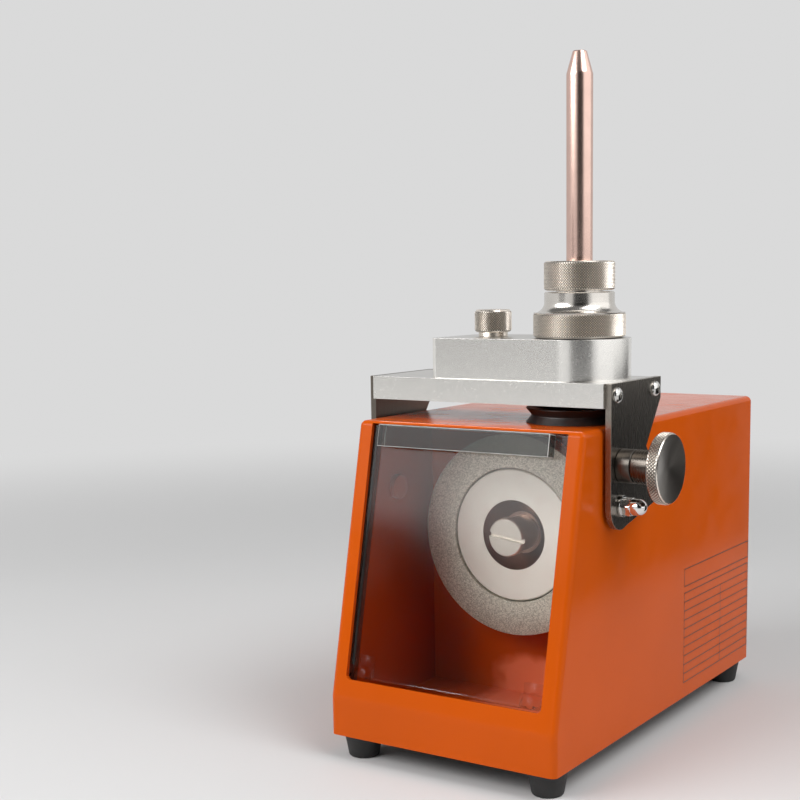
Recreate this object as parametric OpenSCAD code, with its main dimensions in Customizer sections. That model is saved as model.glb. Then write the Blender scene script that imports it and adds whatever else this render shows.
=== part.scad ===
// Bench grinder that sharpens welding electrodes: a folded sheet case with a
// window, a cup wheel on a motor, and a tilting head that carries the chuck.
// Millimetres, +Z up. The front looks along -Y and the feet stand on Z = 0.

/* [Case] */
// width of the case over its sides
case_w = 122; // [100:1:160]
// depth of the case from front to back at its foot
case_depth = 232; // [200:1:280]
// height of the case without its feet
case_h = 149; // [130:1:180]
// height of the upright strip below the bend in the front
plinth_h = 19; // [12:1:30]
// how far the front leans back between the bend and the top
front_lean = 28; // [15:1:40]
// thickness of the case sheet
sheet = 2; // [1.5:0.1:2.5]
// rounding along the edges of the case
edge_r = 3; // [2:0.1:5]
// rounding of the bend in the front
bend_r = 10; // [6:1:20]
// width of the inward rim that the base plate is screwed to
rim_w = 8; // [7:0.5:10]

/* [Feet] */
// height of each rubber foot
foot_h = 12; // [8:0.5:16]
// diameter of a foot where it meets the base
foot_top_d = 18.5; // [14:0.5:20]
// diameter of a foot where it stands
foot_tip_d = 14.5; // [12:0.5:18]
// distance of a foot from the side of the case
foot_in_x = 10.5; // [10:0.5:16]
// distance of a foot from the front or back of the case
foot_in_y = 12.5; // [11:0.5:24]
// diameter of the screw in each foot
foot_screw_d = 4; // [3:0.5:5]

/* [Window] */
// width of the front left standing beside the opening
window_margin = 8.2; // [6:0.1:12]
// height of the front left standing between the bend and the opening
window_sill = 9; // [6:0.5:14]
// height of the lip left above the opening
open_lip = 1; // [0.8:0.1:3]
// thickness of the pane
pane_t = 3; // [3:0.5:5]
// gap between the pane and the edge of the opening
pane_gap = 0.6; // [0.4:0.1:1]
// how far the pane lies behind the face of the front
pane_recess = 1.8; // [1.8:0.1:2.5]
// length of the clear grip on the pane
grip_l = 92; // [60:1:100]
// height of the grip
grip_h = 10.5; // [8:0.5:14]
// thickness of the grip
grip_t = 6; // [4:0.5:8]
// rounding of the opening's lower corners
open_r = 2.5; // [1.5:0.1:4]
// width of each hinge tab at the foot of the pane
tab_w = 9; // [7:0.5:20]
// height of each hinge tab above the hinge line
tab_h = 5; // [4:0.5:9]
// distance of each hinge tab from the side of the pane
tab_in = 2.4; // [2:0.1:4]
// diameter of the hinge pins
hinge_pin_d = 2; // [1.6:0.1:2.2]

/* [Wheel and motor] */
// diameter of the grinding wheel
wheel_d = 100; // [80:1:110]
// width of the abrasive ring
ring_w = 17.3; // [10:0.1:20]
// thickness of the abrasive ring
ring_t = 9; // [6:0.5:12]
// thickness of the wheel plate behind the abrasive
wheel_back_t = 6; // [4:0.5:9]
// depth of the hub face behind the abrasive face
hub_step = 0.8; // [0.4:0.1:2]
// diameter of the conical recess in the hub
recess_d = 34.6; // [28:0.2:40]
// diameter of the recess at its floor
recess_floor_d = 21; // [20:0.5:26]
// depth of the wheel axle below the top of the case
axle_drop = 58; // [56:1:64]
// distance of the abrasive face behind the foot of the front
wheel_in = 70; // [62:1:80]
// diameter of the slotted head that holds the wheel
arbor_head_d = 19; // [16:0.5:19.5]
// how far that head stands out in front of the abrasive
arbor_head_out = 7; // [5:0.5:9]
// thickness of the head's rim
arbor_rim_t = 4.5; // [3:0.5:6]
// diameter of the motor shaft
shaft_d = 10; // [8:0.5:12]
// diameter of the motor can
motor_d = 70; // [60:1:80]
// length of the motor can
motor_l = 84; // [70:1:100]
// length of the motor's end cap
motor_cap_l = 14; // [10:1:20]
// width of the running gap behind the wheel
wheel_gap = 4; // [3:0.5:8]

/* [Tilting head] */
// height of the head plate above the top of the case
head_gap = 9.2; // [9:0.1:12]
// thickness of the head plate
plate_t = 11; // [8:0.5:14]
// depth of the head plate from front to back
plate_d = 51; // [48:0.5:60]
// height of the aluminium block on the plate
block_h = 19; // [15:0.5:25]
// depth of the block, which is also the width of its round end
block_d = 48; // [46:0.5:52]
// distance of the block's flat end from the middle of the case
block_end = 30; // [22:0.5:45]
// rounding of the block's upright corners
block_r = 3.5; // [2:0.5:6]
// distance of the electrode from the side of the case
electrode_side = 23.5; // [23:0.5:31]
// distance of the electrode behind the foot of the front
electrode_in = 68; // [64:0.5:72]
// thickness of the side brackets
bracket_t = 3; // [2:0.5:4]
// gap between a bracket and the side of the case
bracket_gap = 1.5; // [1:0.1:3]
// width of the upper part of a bracket
bracket_d = 53; // [50:0.5:60]
// depth of the bracket's upright edge below the top of the plate
bracket_tail = 10; // [6:0.5:16]
// distance of the tilt axis behind the foot of the front
pivot_in = 55.5; // [52:0.5:60]
// depth of the tilt axis below the top of the case
pivot_drop = 36; // [31:0.5:44]
// diameter of the tilt studs
pivot_d = 5; // [4:0.5:6]
// radius of the bracket's lower end about the tilt axis
lobe_r = 11; // [8:0.5:14]
// radius of the bracket's curved back about the tilt axis
sector_r = 36; // [30:0.5:40]
// width of the neck between the bracket's upright part and its sector
neck_in = 26.5; // [24:0.5:32]
// height of that neck above the tilt axis
neck_rise = 25; // [22:0.5:30]
// greatest forward tilt of the head in degrees
tilt_max = 22.5; // [10:0.5:22.5]
// diameter of the screws that hold the brackets
bracket_screw_d = 4; // [3:0.5:5]
// across flats of the acorn nuts
nut_flats = 8; // [7:0.5:10]
// length of an acorn nut
acorn_l = 11; // [9:0.5:14]

/* [Angle lock] */
// distance of the lock stud above the tilt axis
lock_r = 18.5; // [16:0.5:22]
// diameter of the lock stud
lock_stud_d = 6; // [5:0.5:8]
// diameter of the sleeve and of the knob's hub
lock_hub_d = 15.6; // [13:0.2:18]
// length of the sleeve
lock_sleeve_l = 7; // [5:0.5:10]
// length of the knob's hub
knob_hub_l = 11; // [8:0.5:15]
// diameter of the knob
knob_d = 32.5; // [28:0.5:40]
// thickness of the knob's disc
knob_t = 5.8; // [4:0.2:8]
// depth of the dish in the knob's face
knob_dish = 1.4; // [0.4:0.1:2]

/* [Chuck] */
// diameter of the spindle in its bush
spindle_d = 24; // [20:0.5:26]
// outside diameter of the bush
bush_d = 30; // [28:0.5:34]
// diameter of the collar's grip
collar_d = 43; // [38:0.5:46]
// height of the collar's grip
collar_h = 11.4; // [8:0.2:14]
// diameter of the collar's neck
collar_neck_d = 32.6; // [28:0.2:36]
// height of the neck above the grip
collar_neck_h = 9.6; // [8:0.2:14]
// diameter of the chuck nut
nut_d = 33; // [28:0.5:38]
// height of the chuck nut
nut_h = 13.4; // [10:0.2:18]
// gap under the chuck nut
nut_gap = 0.6; // [0.4:0.1:1.5]
// diameter of the copper tube
tube_d = 12.2; // [10:0.2:13]
// length of the tube above the chuck nut
tube_out = 94; // [60:1:120]
// diameter of the tube's tip
tip_d = 6.4; // [5.8:0.1:9]
// length of the tube's cone
tip_l = 10.2; // [5:0.2:15]
// diameter of the electrode's hole through the tube
electrode_bore_d = 4.2; // [1.8:0.1:5]
// outside diameter of the collet
collet_d = 18; // [16:0.5:19]

/* [Thumb screw] */
// distance of the thumb screw left of the middle of the case
thumb_x = 9; // [0:0.5:14]
// diameter of the thumb screw's grip
thumb_d = 18; // [14:0.5:22]
// height of the grip
thumb_h = 10.8; // [8:0.2:14]
// diameter of the neck under the grip
thumb_neck_d = 14; // [10:0.5:16]
// height of the neck
thumb_neck_h = 2.2; // [1.5:0.1:4]
// diameter of the thumb screw's thread
thumb_screw_d = 6; // [5:0.5:8]
// length of the thread in the block
thumb_screw_l = 12; // [8:0.5:14]

/* [Dust seal] */
// diameter of the seal at its lip and at its foot
seal_d = 46; // [40:0.5:46]
// diameter of the seal at its waist
seal_waist_d = 40; // [37:0.5:44]
// distance of the seal's middle from the electrode, towards the middle of the case
seal_in = 2.5; // [2.5:0.1:3.5]
// height of the seal
seal_h = 7; // [5:0.2:7]
// thickness of the rubber
seal_t = 2.6; // [2:0.1:3]
// width of the electrode slot in the top of the case
slot_w = 11; // [8:0.5:14]
// length of the electrode slot
slot_l = 32; // [28:0.5:33]

/* [Back] */
// height of the switch and the inlet above the foot of the case
socket_h = 30; // [26:1:45]
// distance of the switch from the middle of the case
switch_x = 30; // [24:0.5:36]
// width of the switch cut-out
switch_w = 13; // [12:0.5:16]
// height of the switch cut-out
switch_h = 19; // [18:0.5:24]
// tilt of the rocker at rest in degrees
rocker_tilt = 9; // [6:0.5:12]
// distance of the power inlet from the middle of the case
inlet_x = 20; // [16:0.5:26]
// width of the inlet's cut-out
inlet_w = 27; // [26:0.5:30]
// height of the inlet's cut-out
inlet_h = 20; // [19:0.5:24]
// depth of the inlet behind the back of the case
inlet_depth = 26; // [22:1:32]
// number of vent slots in each column
vent_count = 6; // [4:1:8]
// height of the lowest vent slot above the foot of the case
vent_h = 72; // [60:1:75]
// distance of the vent slots from the middle of the back
vent_in = 5; // [3:0.5:10]
// length of one vent slot
vent_l = 34; // [20:1:40]
// width of one vent slot
vent_w = 4; // [3:0.5:6]
// distance between vent slots
vent_pitch = 10; // [8:0.5:14]

/* [Hidden] */
$fn = 96;

// small amounts
fit = 0.06;
slack = 0.1;
run = 0.3;

// the case in space
front = -case_depth / 2;
back = case_depth / 2;
bottom = foot_h;
top = foot_h + case_h;
bend_z = bottom + plinth_h;
lean = atan(front_lean / (case_h - plinth_h));
inner_x = case_w / 2 - sheet;
inner_top = top - sheet;
top_r = edge_r + 0.2;

// the opening in the front, measured up the slope from the bend
open_w = case_w - 2 * window_margin;
open_top = (case_h - plinth_h - open_lip) / cos(lean);
hinge_up = window_sill + pane_t / 2 + pane_gap;
hinge_in = pane_recess + pane_t / 2;
pane_w = open_w - 2 * pane_gap;
pane_top = open_top - pane_gap;
frame_lip = 1.2;
frame_in = pane_recess + pane_t + run;
frame_t = 2.4;
leaf_t = 1.2;

// the wheel and the motor along Y
axle_z = top - axle_drop;
wheel_y = front + wheel_in;
hub_y = wheel_y + hub_step;
hub_back = wheel_y + ring_t + wheel_back_t;
hub_d = wheel_d - 2 * ring_w;
recess_floor = wheel_y + ring_t + 1;
wall_y = hub_back + wheel_gap;
wall_back = wall_y + sheet;
motor_end = wall_back + motor_l;
bearing_wall = 8;
bearing_d = shaft_d + 2 * bearing_wall;
bearing_t = 8;
seat_t = 2;
motor_wall = 3;
motor_bolt_d = 4;
motor_bolt_l = 9;
motor_bolt_r = motor_d / 2 - 2 * motor_bolt_d;
arbor_d = 5;
arbor_l = 18;
head_front = wheel_y - arbor_head_out;

// the head
plate_z = top + head_gap;
plate_top = plate_z + plate_t;
block_top = plate_top + block_h;
plate_w = case_w + 2 * bracket_gap;
head_y = front + electrode_in;
electrode_x = case_w / 2 - electrode_side;
bracket_x = plate_w / 2;
bracket_out = bracket_x + bracket_t;
pivot_y = front + pivot_in;
pivot_z = top - pivot_drop;
lock_z = pivot_z + lock_r;
washer_t = 1.2;
screw_in = 6;
screw_z = plate_z + plate_t / 2;
bracket_y = pivot_y - lobe_r;
flange_t = 3;
flange_w = 3.5;
spacer_w = 4;
washer_w = 2.5;
stud_out = 5;
bracket_screw_l = 12;
block_screw_d = 5;
block_screw_l = 11;
block_screw_in = 8;
block_screw_gap = 14.5;
block_head_d = 8.5;
block_head_h = 5;
block_head_z = plate_z + 0.4;
tip_room = 2;

// the chuck
collar_z = block_top + run;
grip_top = collar_z + collar_h;
neck_top = grip_top + collar_neck_h;
nut_z = neck_top + nut_gap;
nut_top = nut_z + nut_h;
tube_top = nut_top + tube_out;
neck_arc = (collar_d - collar_neck_d) / 2 - 0.2;
spindle_end = plate_z + 2;
ring_z = plate_top - 2;
stub_d = 22;
stub_top = nut_top - 4.5;
pocket_z = grip_top - 4;
ring_d = bush_d - 2;
clip_t = 1.2;
bore_relief = 0.2;
nut_room = 2.1;

// screws and feet under the case
base_screw_d = 3;
base_screw_l = 7;
base_head_d = 5.6;
base_head_h = 2;
foot_pocket_d = 8.4;
foot_pocket_h = 6;
foot_head_d = 7.6;
foot_head_h = 3.2;
foot_nut_d = foot_screw_d + 4;
foot_nut_t = 1.8;
base_vent_l = 50;
base_vent_in = 70;
base_vent_pitch = 24;

// the switch and the inlet
socket_z = bottom + socket_h;
bezel_t = 1.6;
bezel_lip = 1.2;
switch_wall = 1.4;
switch_depth = 16;
rocker_axle_d = 2;
rocker_y = back - 6;
rocker_out = 8.4;
rocker_half = switch_h / 2 - switch_wall - 1.7;
inlet_flange_w = 49;
inlet_flange_t = 3;
inlet_screw_d = 3.4;
inlet_screw_x = 20;
mouth_w = 24;
mouth_h = 16;
mouth_cut = 3.5;
mouth_depth = 16;
contact_w = 2;
contact_h = 4;
contact_x = 7;
contact_z = 3.6;

// a rod along X, Y or Z between two stations
module rod_x(d, x0, x1, y, z)
    translate([x0, y, z]) rotate([0, 90, 0]) cylinder(d = d, h = x1 - x0);
module rod_y(d, y0, y1, x, z)
    translate([x, y0, z]) rotate([-90, 0, 0]) cylinder(d = d, h = y1 - y0);
module rod_z(d, z0, z1, x, y)
    translate([x, y, z0]) cylinder(d = d, h = z1 - z0);

// a block between two corners
module block(a, b)
    translate(a) cube(b - a);

// the same piece on the left and on the right
module both_sides() {
    children();
    mirror([1, 0, 0]) children();
}

// X across, Y into the case and Z up the slope, from the bend of the front
module on_front()
    translate([0, front, bend_z]) rotate([-lean, 0, 0]) children();

// a shape drawn as (Y, Z) and given a thickness along X
module plate_x(x0, t)
    translate([x0, 0, 0]) rotate([90, 0, 90]) linear_extrude(t) children();

// a rectangle with round corners, drawn about its middle
module round_rect(w, h, r) {
    square([w - 2 * r, h], center = true);
    square([w, h - 2 * r], center = true);
    for (x = [-1, 1], y = [-1, 1])
        translate([x * (w / 2 - r), y * (h / 2 - r)]) circle(r);
}

// a slot with round ends along Y
module slot_2d(w, l) {
    square([w, l - w], center = true);
    for (s = [-1, 1])
        translate([0, s * (l - w) / 2]) circle(d = w);
}

// centre and radius of each rounded corner of the case seen from the side
slope_y = (top_r + (top - top_r - bend_z) * sin(lean)) / cos(lean);
CORNERS = [
    [front + bend_r, bottom - 2 * bend_r, bend_r],
    [front + bend_r, bend_z - bend_r * tan(lean / 2), bend_r],
    [front + slope_y, top - top_r, top_r],
    [back - top_r, top - top_r, top_r],
    [back - top_r, bottom - 2 * bend_r, top_r]];

// the outside of the case with every edge rounded
module case_outside()
    difference() {
        hull()
            for (c = CORNERS, a = [0 : 22.5 : 90], s = [-1, 1])
                rod_disc(s * (case_w / 2 - edge_r + edge_r * sin(a)), c, edge_r * (1 - cos(a)));
        block([-case_w, front - 50, bottom - 100], [case_w, back + 50, bottom]);
    }

// one thin disc of the rounded outside
module rod_disc(x, c, inset)
    translate([x, c[0], c[1]]) rotate([0, x > 0 ? -90 : 90, 0])
        cylinder(r = c[2] - inset, h = 0.01, $fn = 48);

// the inside of the case seen from the side
module case_inside_2d() {
    y0 = front + sheet;
    step = sheet / cos(lean) - sheet;
    polygon([
        [y0, bottom - 1],
        [y0, bend_z - step / tan(lean)],
        [y0 + step + (inner_top - bend_z) * tan(lean), inner_top],
        [back - sheet, inner_top],
        [back - sheet, bottom - 1]]);
}

// the rim left inside the foot of the case for the base plate
module case_rim()
    difference() {
        block([-inner_x - slack, front + 1, bottom + sheet], [inner_x + slack, back - 1, bottom + 2 * sheet]);
        block([-inner_x + rim_w, front + sheet + rim_w, bottom],
            [inner_x - rim_w, back - sheet - rim_w, bottom + 3 * sheet]);
        for (p = RIM_SCREWS)
            rod_z(base_screw_d + 2 * fit, bottom, bottom + 3 * sheet, p[0], p[1]);
        for (p = FEET)
            rod_z(foot_nut_d + 2, bottom, bottom + 3 * sheet, p[0], p[1]);
    }
rim_mid = rim_w / 2 + 0.5;
rim_end = 46;
rim_pitch = case_depth / 2 - rim_end;
RIM_SCREWS = [for (x = [-1, 1], y = [-1, 0, 1]) [x * (inner_x - rim_mid), y * rim_pitch]];

// vent slots in the back, one column each side
module vents_2d()
    for (s = [-1, 1], i = [0 : vent_count - 1])
        translate([s * (vent_l / 2 + vent_in), bottom + vent_h + i * vent_pitch])
            rotate(90) slot_2d(vent_w, vent_l);

// the opening for the window, round at its lower corners
module open_2d() {
    open_h = open_top - window_sill;
    round_rect(open_w, open_h, open_r);
    translate([0, open_h / 4]) square([open_w, open_h / 2], center = true);
}

module housing()
    color([0.86, 0.40, 0.10])
    union() {
        difference() {
            case_outside();
            plate_x(-inner_x, 2 * inner_x) case_inside_2d();
            // window
            on_front()
                translate([0, 0, (window_sill + open_top) / 2]) rotate([90, 0, 0])
                    linear_extrude(40, center = true) open_2d();
            // electrode slot
            translate([electrode_x, head_y - 3, top - 10]) linear_extrude(20) slot_2d(slot_w, slot_l);
            // studs
            both_sides() rod_x(pivot_d + 2 * fit, inner_x - sheet, case_w, pivot_y, pivot_z);
            rod_x(lock_stud_d + 2 * fit, inner_x - sheet, case_w, pivot_y, lock_z);
            // back
            translate([0, back + 10, 0]) rotate([90, 0, 0]) linear_extrude(20) vents_2d();
            block([-switch_x - switch_w / 2, back - 10, socket_z - switch_h / 2],
                [-switch_x + switch_w / 2, back + 10, socket_z + switch_h / 2]);
            block([inlet_x - inlet_w / 2, back - 10, socket_z - inlet_h / 2],
                [inlet_x + inlet_w / 2, back + 10, socket_z + inlet_h / 2]);
            for (s = [-1, 1])
                rod_y(inlet_screw_d - 0.4, back - 10, back + 10, inlet_x + s * inlet_screw_x, socket_z);
        }
        case_rim();
    }

FEET = [for (x = [-1, 1], y = [-1, 1]) [x * (case_w / 2 - foot_in_x), y * (case_depth / 2 - foot_in_y)]];

module base_plate()
    color([0.25, 0.25, 0.26])
    difference() {
        block([-inner_x + slack, front + sheet + slack, bottom],
            [inner_x - slack, back - sheet - slack, bottom + sheet]);
        for (p = RIM_SCREWS)
            rod_z(base_screw_d + 0.2, bottom - 1, bottom + sheet + 1, p[0], p[1]);
        for (p = FEET)
            rod_z(foot_screw_d + 2 * fit, bottom - 1, bottom + sheet + 1, p[0], p[1]);
        for (i = [-1, 0, 1])
            translate([i * base_vent_pitch, back - base_vent_in, bottom - 1])
                linear_extrude(sheet + 2) slot_2d(vent_w, base_vent_l);
    }

// pan-head screws that hold the base plate to the rim
module base_screws()
    color([0.6, 0.6, 0.62])
    for (p = RIM_SCREWS) {
        rod_z(base_screw_d, bottom - base_head_h / 4, bottom + base_screw_l, p[0], p[1]);
        translate([p[0], p[1], bottom - base_head_h])
            cylinder(d1 = 0.8 * base_head_d, d2 = base_head_d, h = base_head_h);
    }

// tapered foot with a pocket for its screw
module rubber_feet()
    color([0.05, 0.05, 0.05])
    for (p = FEET)
        translate([p[0], p[1], 0]) rotate_extrude()
            polygon([
                [foot_screw_d / 2 + fit, foot_h],
                [foot_screw_d / 2 + fit, foot_pocket_h],
                [foot_pocket_d / 2, foot_pocket_h],
                [foot_pocket_d / 2, 0],
                [foot_tip_d / 2 - 1, 0],
                [foot_tip_d / 2, 1],
                [foot_top_d / 2, foot_h]]);

// screws through the feet into flat nuts on the base plate
module foot_screws()
    color([0.6, 0.6, 0.62])
    for (p = FEET) {
        rod_z(foot_screw_d, foot_pocket_h - foot_head_h / 2, bottom + sheet + foot_nut_t - 0.3, p[0], p[1]);
        rod_z(foot_head_d, foot_pocket_h - foot_head_h, foot_pocket_h, p[0], p[1]);
        translate([p[0], p[1], bottom + sheet]) cylinder(d = foot_nut_d, h = foot_nut_t, $fn = 6);
    }

// folded sheet that closes the grinding chamber at the back and below
module chamber_wall()
    color([0.82, 0.36, 0.10])
    difference() {
        union() {
            block([-inner_x + slack, wall_y, bottom + 2 * sheet],
                [inner_x - slack, wall_back, inner_top - slack]);
            block([-inner_x + slack, front + sheet + slack, bottom + 2 * sheet],
                [inner_x - slack, wall_back, bottom + 3 * sheet]);
        }
        for (p = RIM_SCREWS)
            rod_z(base_screw_d + 1, bottom, bottom + 4 * sheet, p[0], p[1]);
        rod_y(shaft_d + 6, wall_y - 5, wall_back + 5, 0, axle_z);
        for (a = [45 : 90 : 315])
            translate([motor_bolt_r * cos(a), 0, axle_z + motor_bolt_r * sin(a)])
                rod_y(motor_bolt_d + 0.2, wall_y - 5, wall_back + 5, 0, 0);
    }

// waisted rubber collar around the electrode slot
module dust_seal()
    color([0.04, 0.04, 0.04])
    translate([electrode_x - seal_in, head_y, top]) rotate_extrude()
        polygon([
            [seal_d / 2 - seal_t, 0],
            [seal_d / 2, 0],
            [seal_waist_d / 2, seal_h / 2],
            [seal_d / 2, seal_h],
            [seal_d / 2 - seal_t, seal_h],
            [seal_waist_d / 2 - seal_t, seal_h / 2]]);

// guide behind each side of the opening, with the hole for the hinge pin
module window_frame()
    color([0.06, 0.06, 0.06])
    both_sides() on_front()
        difference() {
            union() {
                block([open_w / 2, sheet, window_sill - 1],
                    [inner_x - 0.05, frame_in + frame_t, open_top - 1.5]);
                block([open_w / 2 - frame_lip, frame_in, window_sill - 1],
                    [inner_x - 0.05, frame_in + frame_t, open_top - 1.5]);
            }
            rod_x(hinge_pin_d + 2 * fit, open_w / 2 - 10, inner_x + 10, hinge_in, hinge_up);
        }

// clear pane with a half-round foot that turns in the opening
module window_pane()
    color([0.35, 0.33, 0.32, 0.45])
    on_front()
        difference() {
            union() {
                block([-pane_w / 2, pane_recess, hinge_up], [pane_w / 2, pane_recess + pane_t, pane_top]);
                rod_x(pane_t, -pane_w / 2, pane_w / 2, hinge_in, hinge_up);
            }
            both_sides()
                block([tab_x - tab_w, pane_recess - 5, hinge_up - pane_t],
                    [pane_w, pane_recess + pane_t + 5, hinge_up + tab_h]);
        }

module window_grip()
    color([0.85, 0.85, 0.82, 0.5])
    on_front()
        block([-grip_l / 2, pane_recess - grip_t, pane_top - grip_h], [grip_l / 2, pane_recess, pane_top]);

// clear corner of the pane with its hinge pin and the leaf behind the pane
module hinge_tabs()
    color([0.35, 0.33, 0.32, 0.45])
    both_sides() on_front() {
        block([tab_x - tab_w, pane_recess, hinge_up], [tab_x, pane_recess + pane_t, hinge_up + tab_h]);
        rod_x(pane_t, tab_x - tab_w, tab_x, hinge_in, hinge_up);
        rod_x(hinge_pin_d, tab_x - tab_in, inner_x - 1, hinge_in, hinge_up);
        block([tab_x - tab_w, hinge_in, hinge_up],
            [leaf_end, pane_recess + pane_t + leaf_t, hinge_up + tab_h]);
        block([tab_x - tab_w, pane_recess + pane_t, hinge_up],
            [leaf_end, pane_recess + pane_t + leaf_t, hinge_up + 2 * tab_h]);
    }
tab_x = pane_w / 2 - tab_in;
leaf_end = min(tab_x, open_w / 2 - frame_lip - 0.5);

// drawn can of the motor with its front bearing seat
module motor_can()
    color([0.45, 0.46, 0.48])
    difference() {
        rod_y(motor_d, wall_back, motor_end, 0, axle_z);
        rod_y(motor_d - 2 * motor_wall, wall_back + bearing_t + seat_t, motor_end + 1, 0, axle_z);
        rod_y(bearing_d, wall_back + seat_t, motor_end, 0, axle_z);
        rod_y(shaft_d + 4, wall_back - 1, motor_end, 0, axle_z);
        for (a = [45 : 90 : 315])
            translate([motor_bolt_r * cos(a), 0, axle_z + motor_bolt_r * sin(a)])
                rod_y(motor_bolt_d + 2 * fit, wall_back - 1, wall_back + 2 * motor_bolt_l, 0, 0);
    }

module motor_end_cap()
    color([0.30, 0.31, 0.33])
    difference() {
        rod_y(motor_d, motor_end, motor_end + motor_cap_l, 0, axle_z);
        rod_y(bearing_d, motor_end - 1, motor_end + bearing_t, 0, axle_z);
        rod_y(shaft_d + 4, motor_end - 1, motor_end + motor_cap_l - seat_t, 0, axle_z);
    }

// cap screws through the chamber wall into the motor
module motor_screws()
    color([0.2, 0.2, 0.21])
    for (a = [45 : 90 : 315])
        translate([motor_bolt_r * cos(a), 0, axle_z + motor_bolt_r * sin(a)]) {
            rod_y(motor_bolt_d, wall_y - 0.3 * motor_bolt_d, wall_back + motor_bolt_l, 0, 0);
            rod_y(1.75 * motor_bolt_d, wall_y - 0.6 * motor_bolt_d, wall_y, 0, 0);
        }

module motor_rotor()
    color([0.5, 0.42, 0.34])
    difference() {
        rod_y(motor_d - 14, wall_back + 2 * bearing_t, motor_end - bearing_t, 0, axle_z);
        rod_y(shaft_d + 2 * fit, wall_back, motor_end, 0, axle_z);
    }

// ball bearing drawn as one ring between its seat and the shaft
module bearing(y)
    difference() {
        rod_y(bearing_d - 2 * fit, y, y + bearing_t, 0, axle_z);
        rod_y(shaft_d + 2 * fit, y - 1, y + bearing_t + 1, 0, axle_z);
    }

module front_bearing()
    color([0.7, 0.7, 0.72])
    bearing(wall_back + seat_t);

module rear_bearing()
    color([0.7, 0.7, 0.72])
    bearing(motor_end);

// shaft with a shoulder that the wheel is clamped against
module motor_shaft()
    color([0.65, 0.65, 0.67])
    difference() {
        union() {
            rod_y(shaft_d, recess_floor, motor_end + bearing_t + 1, 0, axle_z);
            rod_y(shaft_d + 3, hub_back, wall_back + 1.5, 0, axle_z);
        }
        rod_y(arbor_d + 2 * fit, recess_floor - 1, recess_floor + arbor_l + tip_room, 0, axle_z);
    }

// plated wheel body with the hub face, its conical recess and the backing plate
module wheel_hub()
    color([0.72, 0.72, 0.73])
    translate([0, 0, axle_z]) rotate([-90, 0, 0]) rotate_extrude()
        polygon([
            [shaft_d / 2 + fit, recess_floor],
            [recess_floor_d / 2, recess_floor],
            [recess_d / 2, hub_y],
            [hub_d / 2, hub_y],
            [hub_d / 2, wheel_y + ring_t],
            [wheel_d / 2 - 1, wheel_y + ring_t],
            [wheel_d / 2 - 1, hub_back - 1],
            [wheel_d / 2 - 2, hub_back],
            [shaft_d / 2 + fit, hub_back]]);

module abrasive_ring()
    color([0.45, 0.44, 0.42])
    translate([0, 0, axle_z]) rotate([-90, 0, 0]) rotate_extrude()
        polygon([
            [hub_d / 2 + fit, wheel_y],
            [wheel_d / 2, wheel_y],
            [wheel_d / 2, wheel_y + ring_t],
            [hub_d / 2 + fit, wheel_y + ring_t]]);

// slotted pillar screw that holds the wheel
module arbor_screw()
    color([0.62, 0.60, 0.58])
    difference() {
        union() {
            translate([0, 0, axle_z]) rotate([-90, 0, 0]) rotate_extrude()
                polygon([
                    [0, head_front],
                    [arbor_head_d / 2 - 0.6, head_front],
                    [arbor_head_d / 2, head_front + 0.6],
                    [arbor_head_d / 2, head_front + arbor_rim_t],
                    [arbor_head_d / 2 - 0.8, head_front + arbor_rim_t],
                    [arbor_head_d / 2 - 0.8, recess_floor],
                    [0, recess_floor]]);
            rod_y(arbor_d, recess_floor - 1, recess_floor + arbor_l, 0, axle_z);
        }
        translate([0, head_front, axle_z]) rotate([0, 8, 0])
            block([-arbor_head_d, -1, -1.1], [arbor_head_d, 2.4, 1.1]);
    }

BRACKET_SCREWS = [bracket_y + screw_in, bracket_y + bracket_d - screw_in - 0.5];
BLOCK_SCREWS = [
    for (x = [-block_end + block_screw_in, electrode_x - bush_d / 2 - block_screw_gap], y = [-1, 1])
        [x, y * (block_d / 2 - block_screw_in)]];

module head_plate()
    color([0.75, 0.75, 0.75])
    difference() {
        block([-plate_w / 2, head_y - plate_d / 2, plate_z],
            [plate_w / 2, head_y + plate_d / 2, plate_top]);
        rod_z(bush_d, plate_z - 1, plate_top + 1, electrode_x, head_y);
        for (p = BLOCK_SCREWS) {
            rod_z(block_screw_d + 0.2, plate_z - 1, plate_top + 1, p[0], head_y + p[1]);
            rod_z(block_head_d + 0.9, plate_z - 1, block_head_z + block_head_h, p[0], head_y + p[1]);
        }
        both_sides()
            for (y = BRACKET_SCREWS)
                rod_x(bracket_screw_d + 2 * fit, plate_w / 2 - bracket_screw_l - tip_room, plate_w,
                    y, screw_z);
    }

// block with a full round end about the electrode
module head_block()
    color([0.80, 0.80, 0.79])
    difference() {
        translate([0, head_y, plate_top]) linear_extrude(block_h) {
            translate([-block_end + block_r, -block_d / 2])
                square([electrode_x + block_end - block_r, block_d]);
            translate([-block_end, -block_d / 2 + block_r]) square([electrode_x, block_d - 2 * block_r]);
            for (s = [-1, 1])
                translate([-block_end + block_r, s * (block_d / 2 - block_r)]) circle(block_r);
            translate([electrode_x, 0]) circle(d = block_d);
        }
        rod_z(bush_d, plate_top - 1, block_top + 1, electrode_x, head_y);
        translate([-thumb_x, head_y, block_top - thumb_screw_l - tip_room])
            cylinder(d = thumb_screw_d + 2 * fit, h = block_h);
        for (p = BLOCK_SCREWS)
            translate([p[0], head_y + p[1], plate_top - 1])
                cylinder(d = block_screw_d + 2 * fit, h = block_screw_l + tip_room + 1);
    }

module block_screws()
    color([0.2, 0.2, 0.21])
    for (p = BLOCK_SCREWS) {
        rod_z(block_screw_d, plate_z + block_head_h, plate_top + block_screw_l, p[0], head_y + p[1]);
        difference() {
            rod_z(block_head_d, block_head_z, block_head_z + block_head_h, p[0], head_y + p[1]);
            translate([p[0], head_y + p[1], plate_z])
                cylinder(d = 0.9 * block_screw_d, h = 0.6 * block_head_h, $fn = 6);
        }
    }

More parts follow.
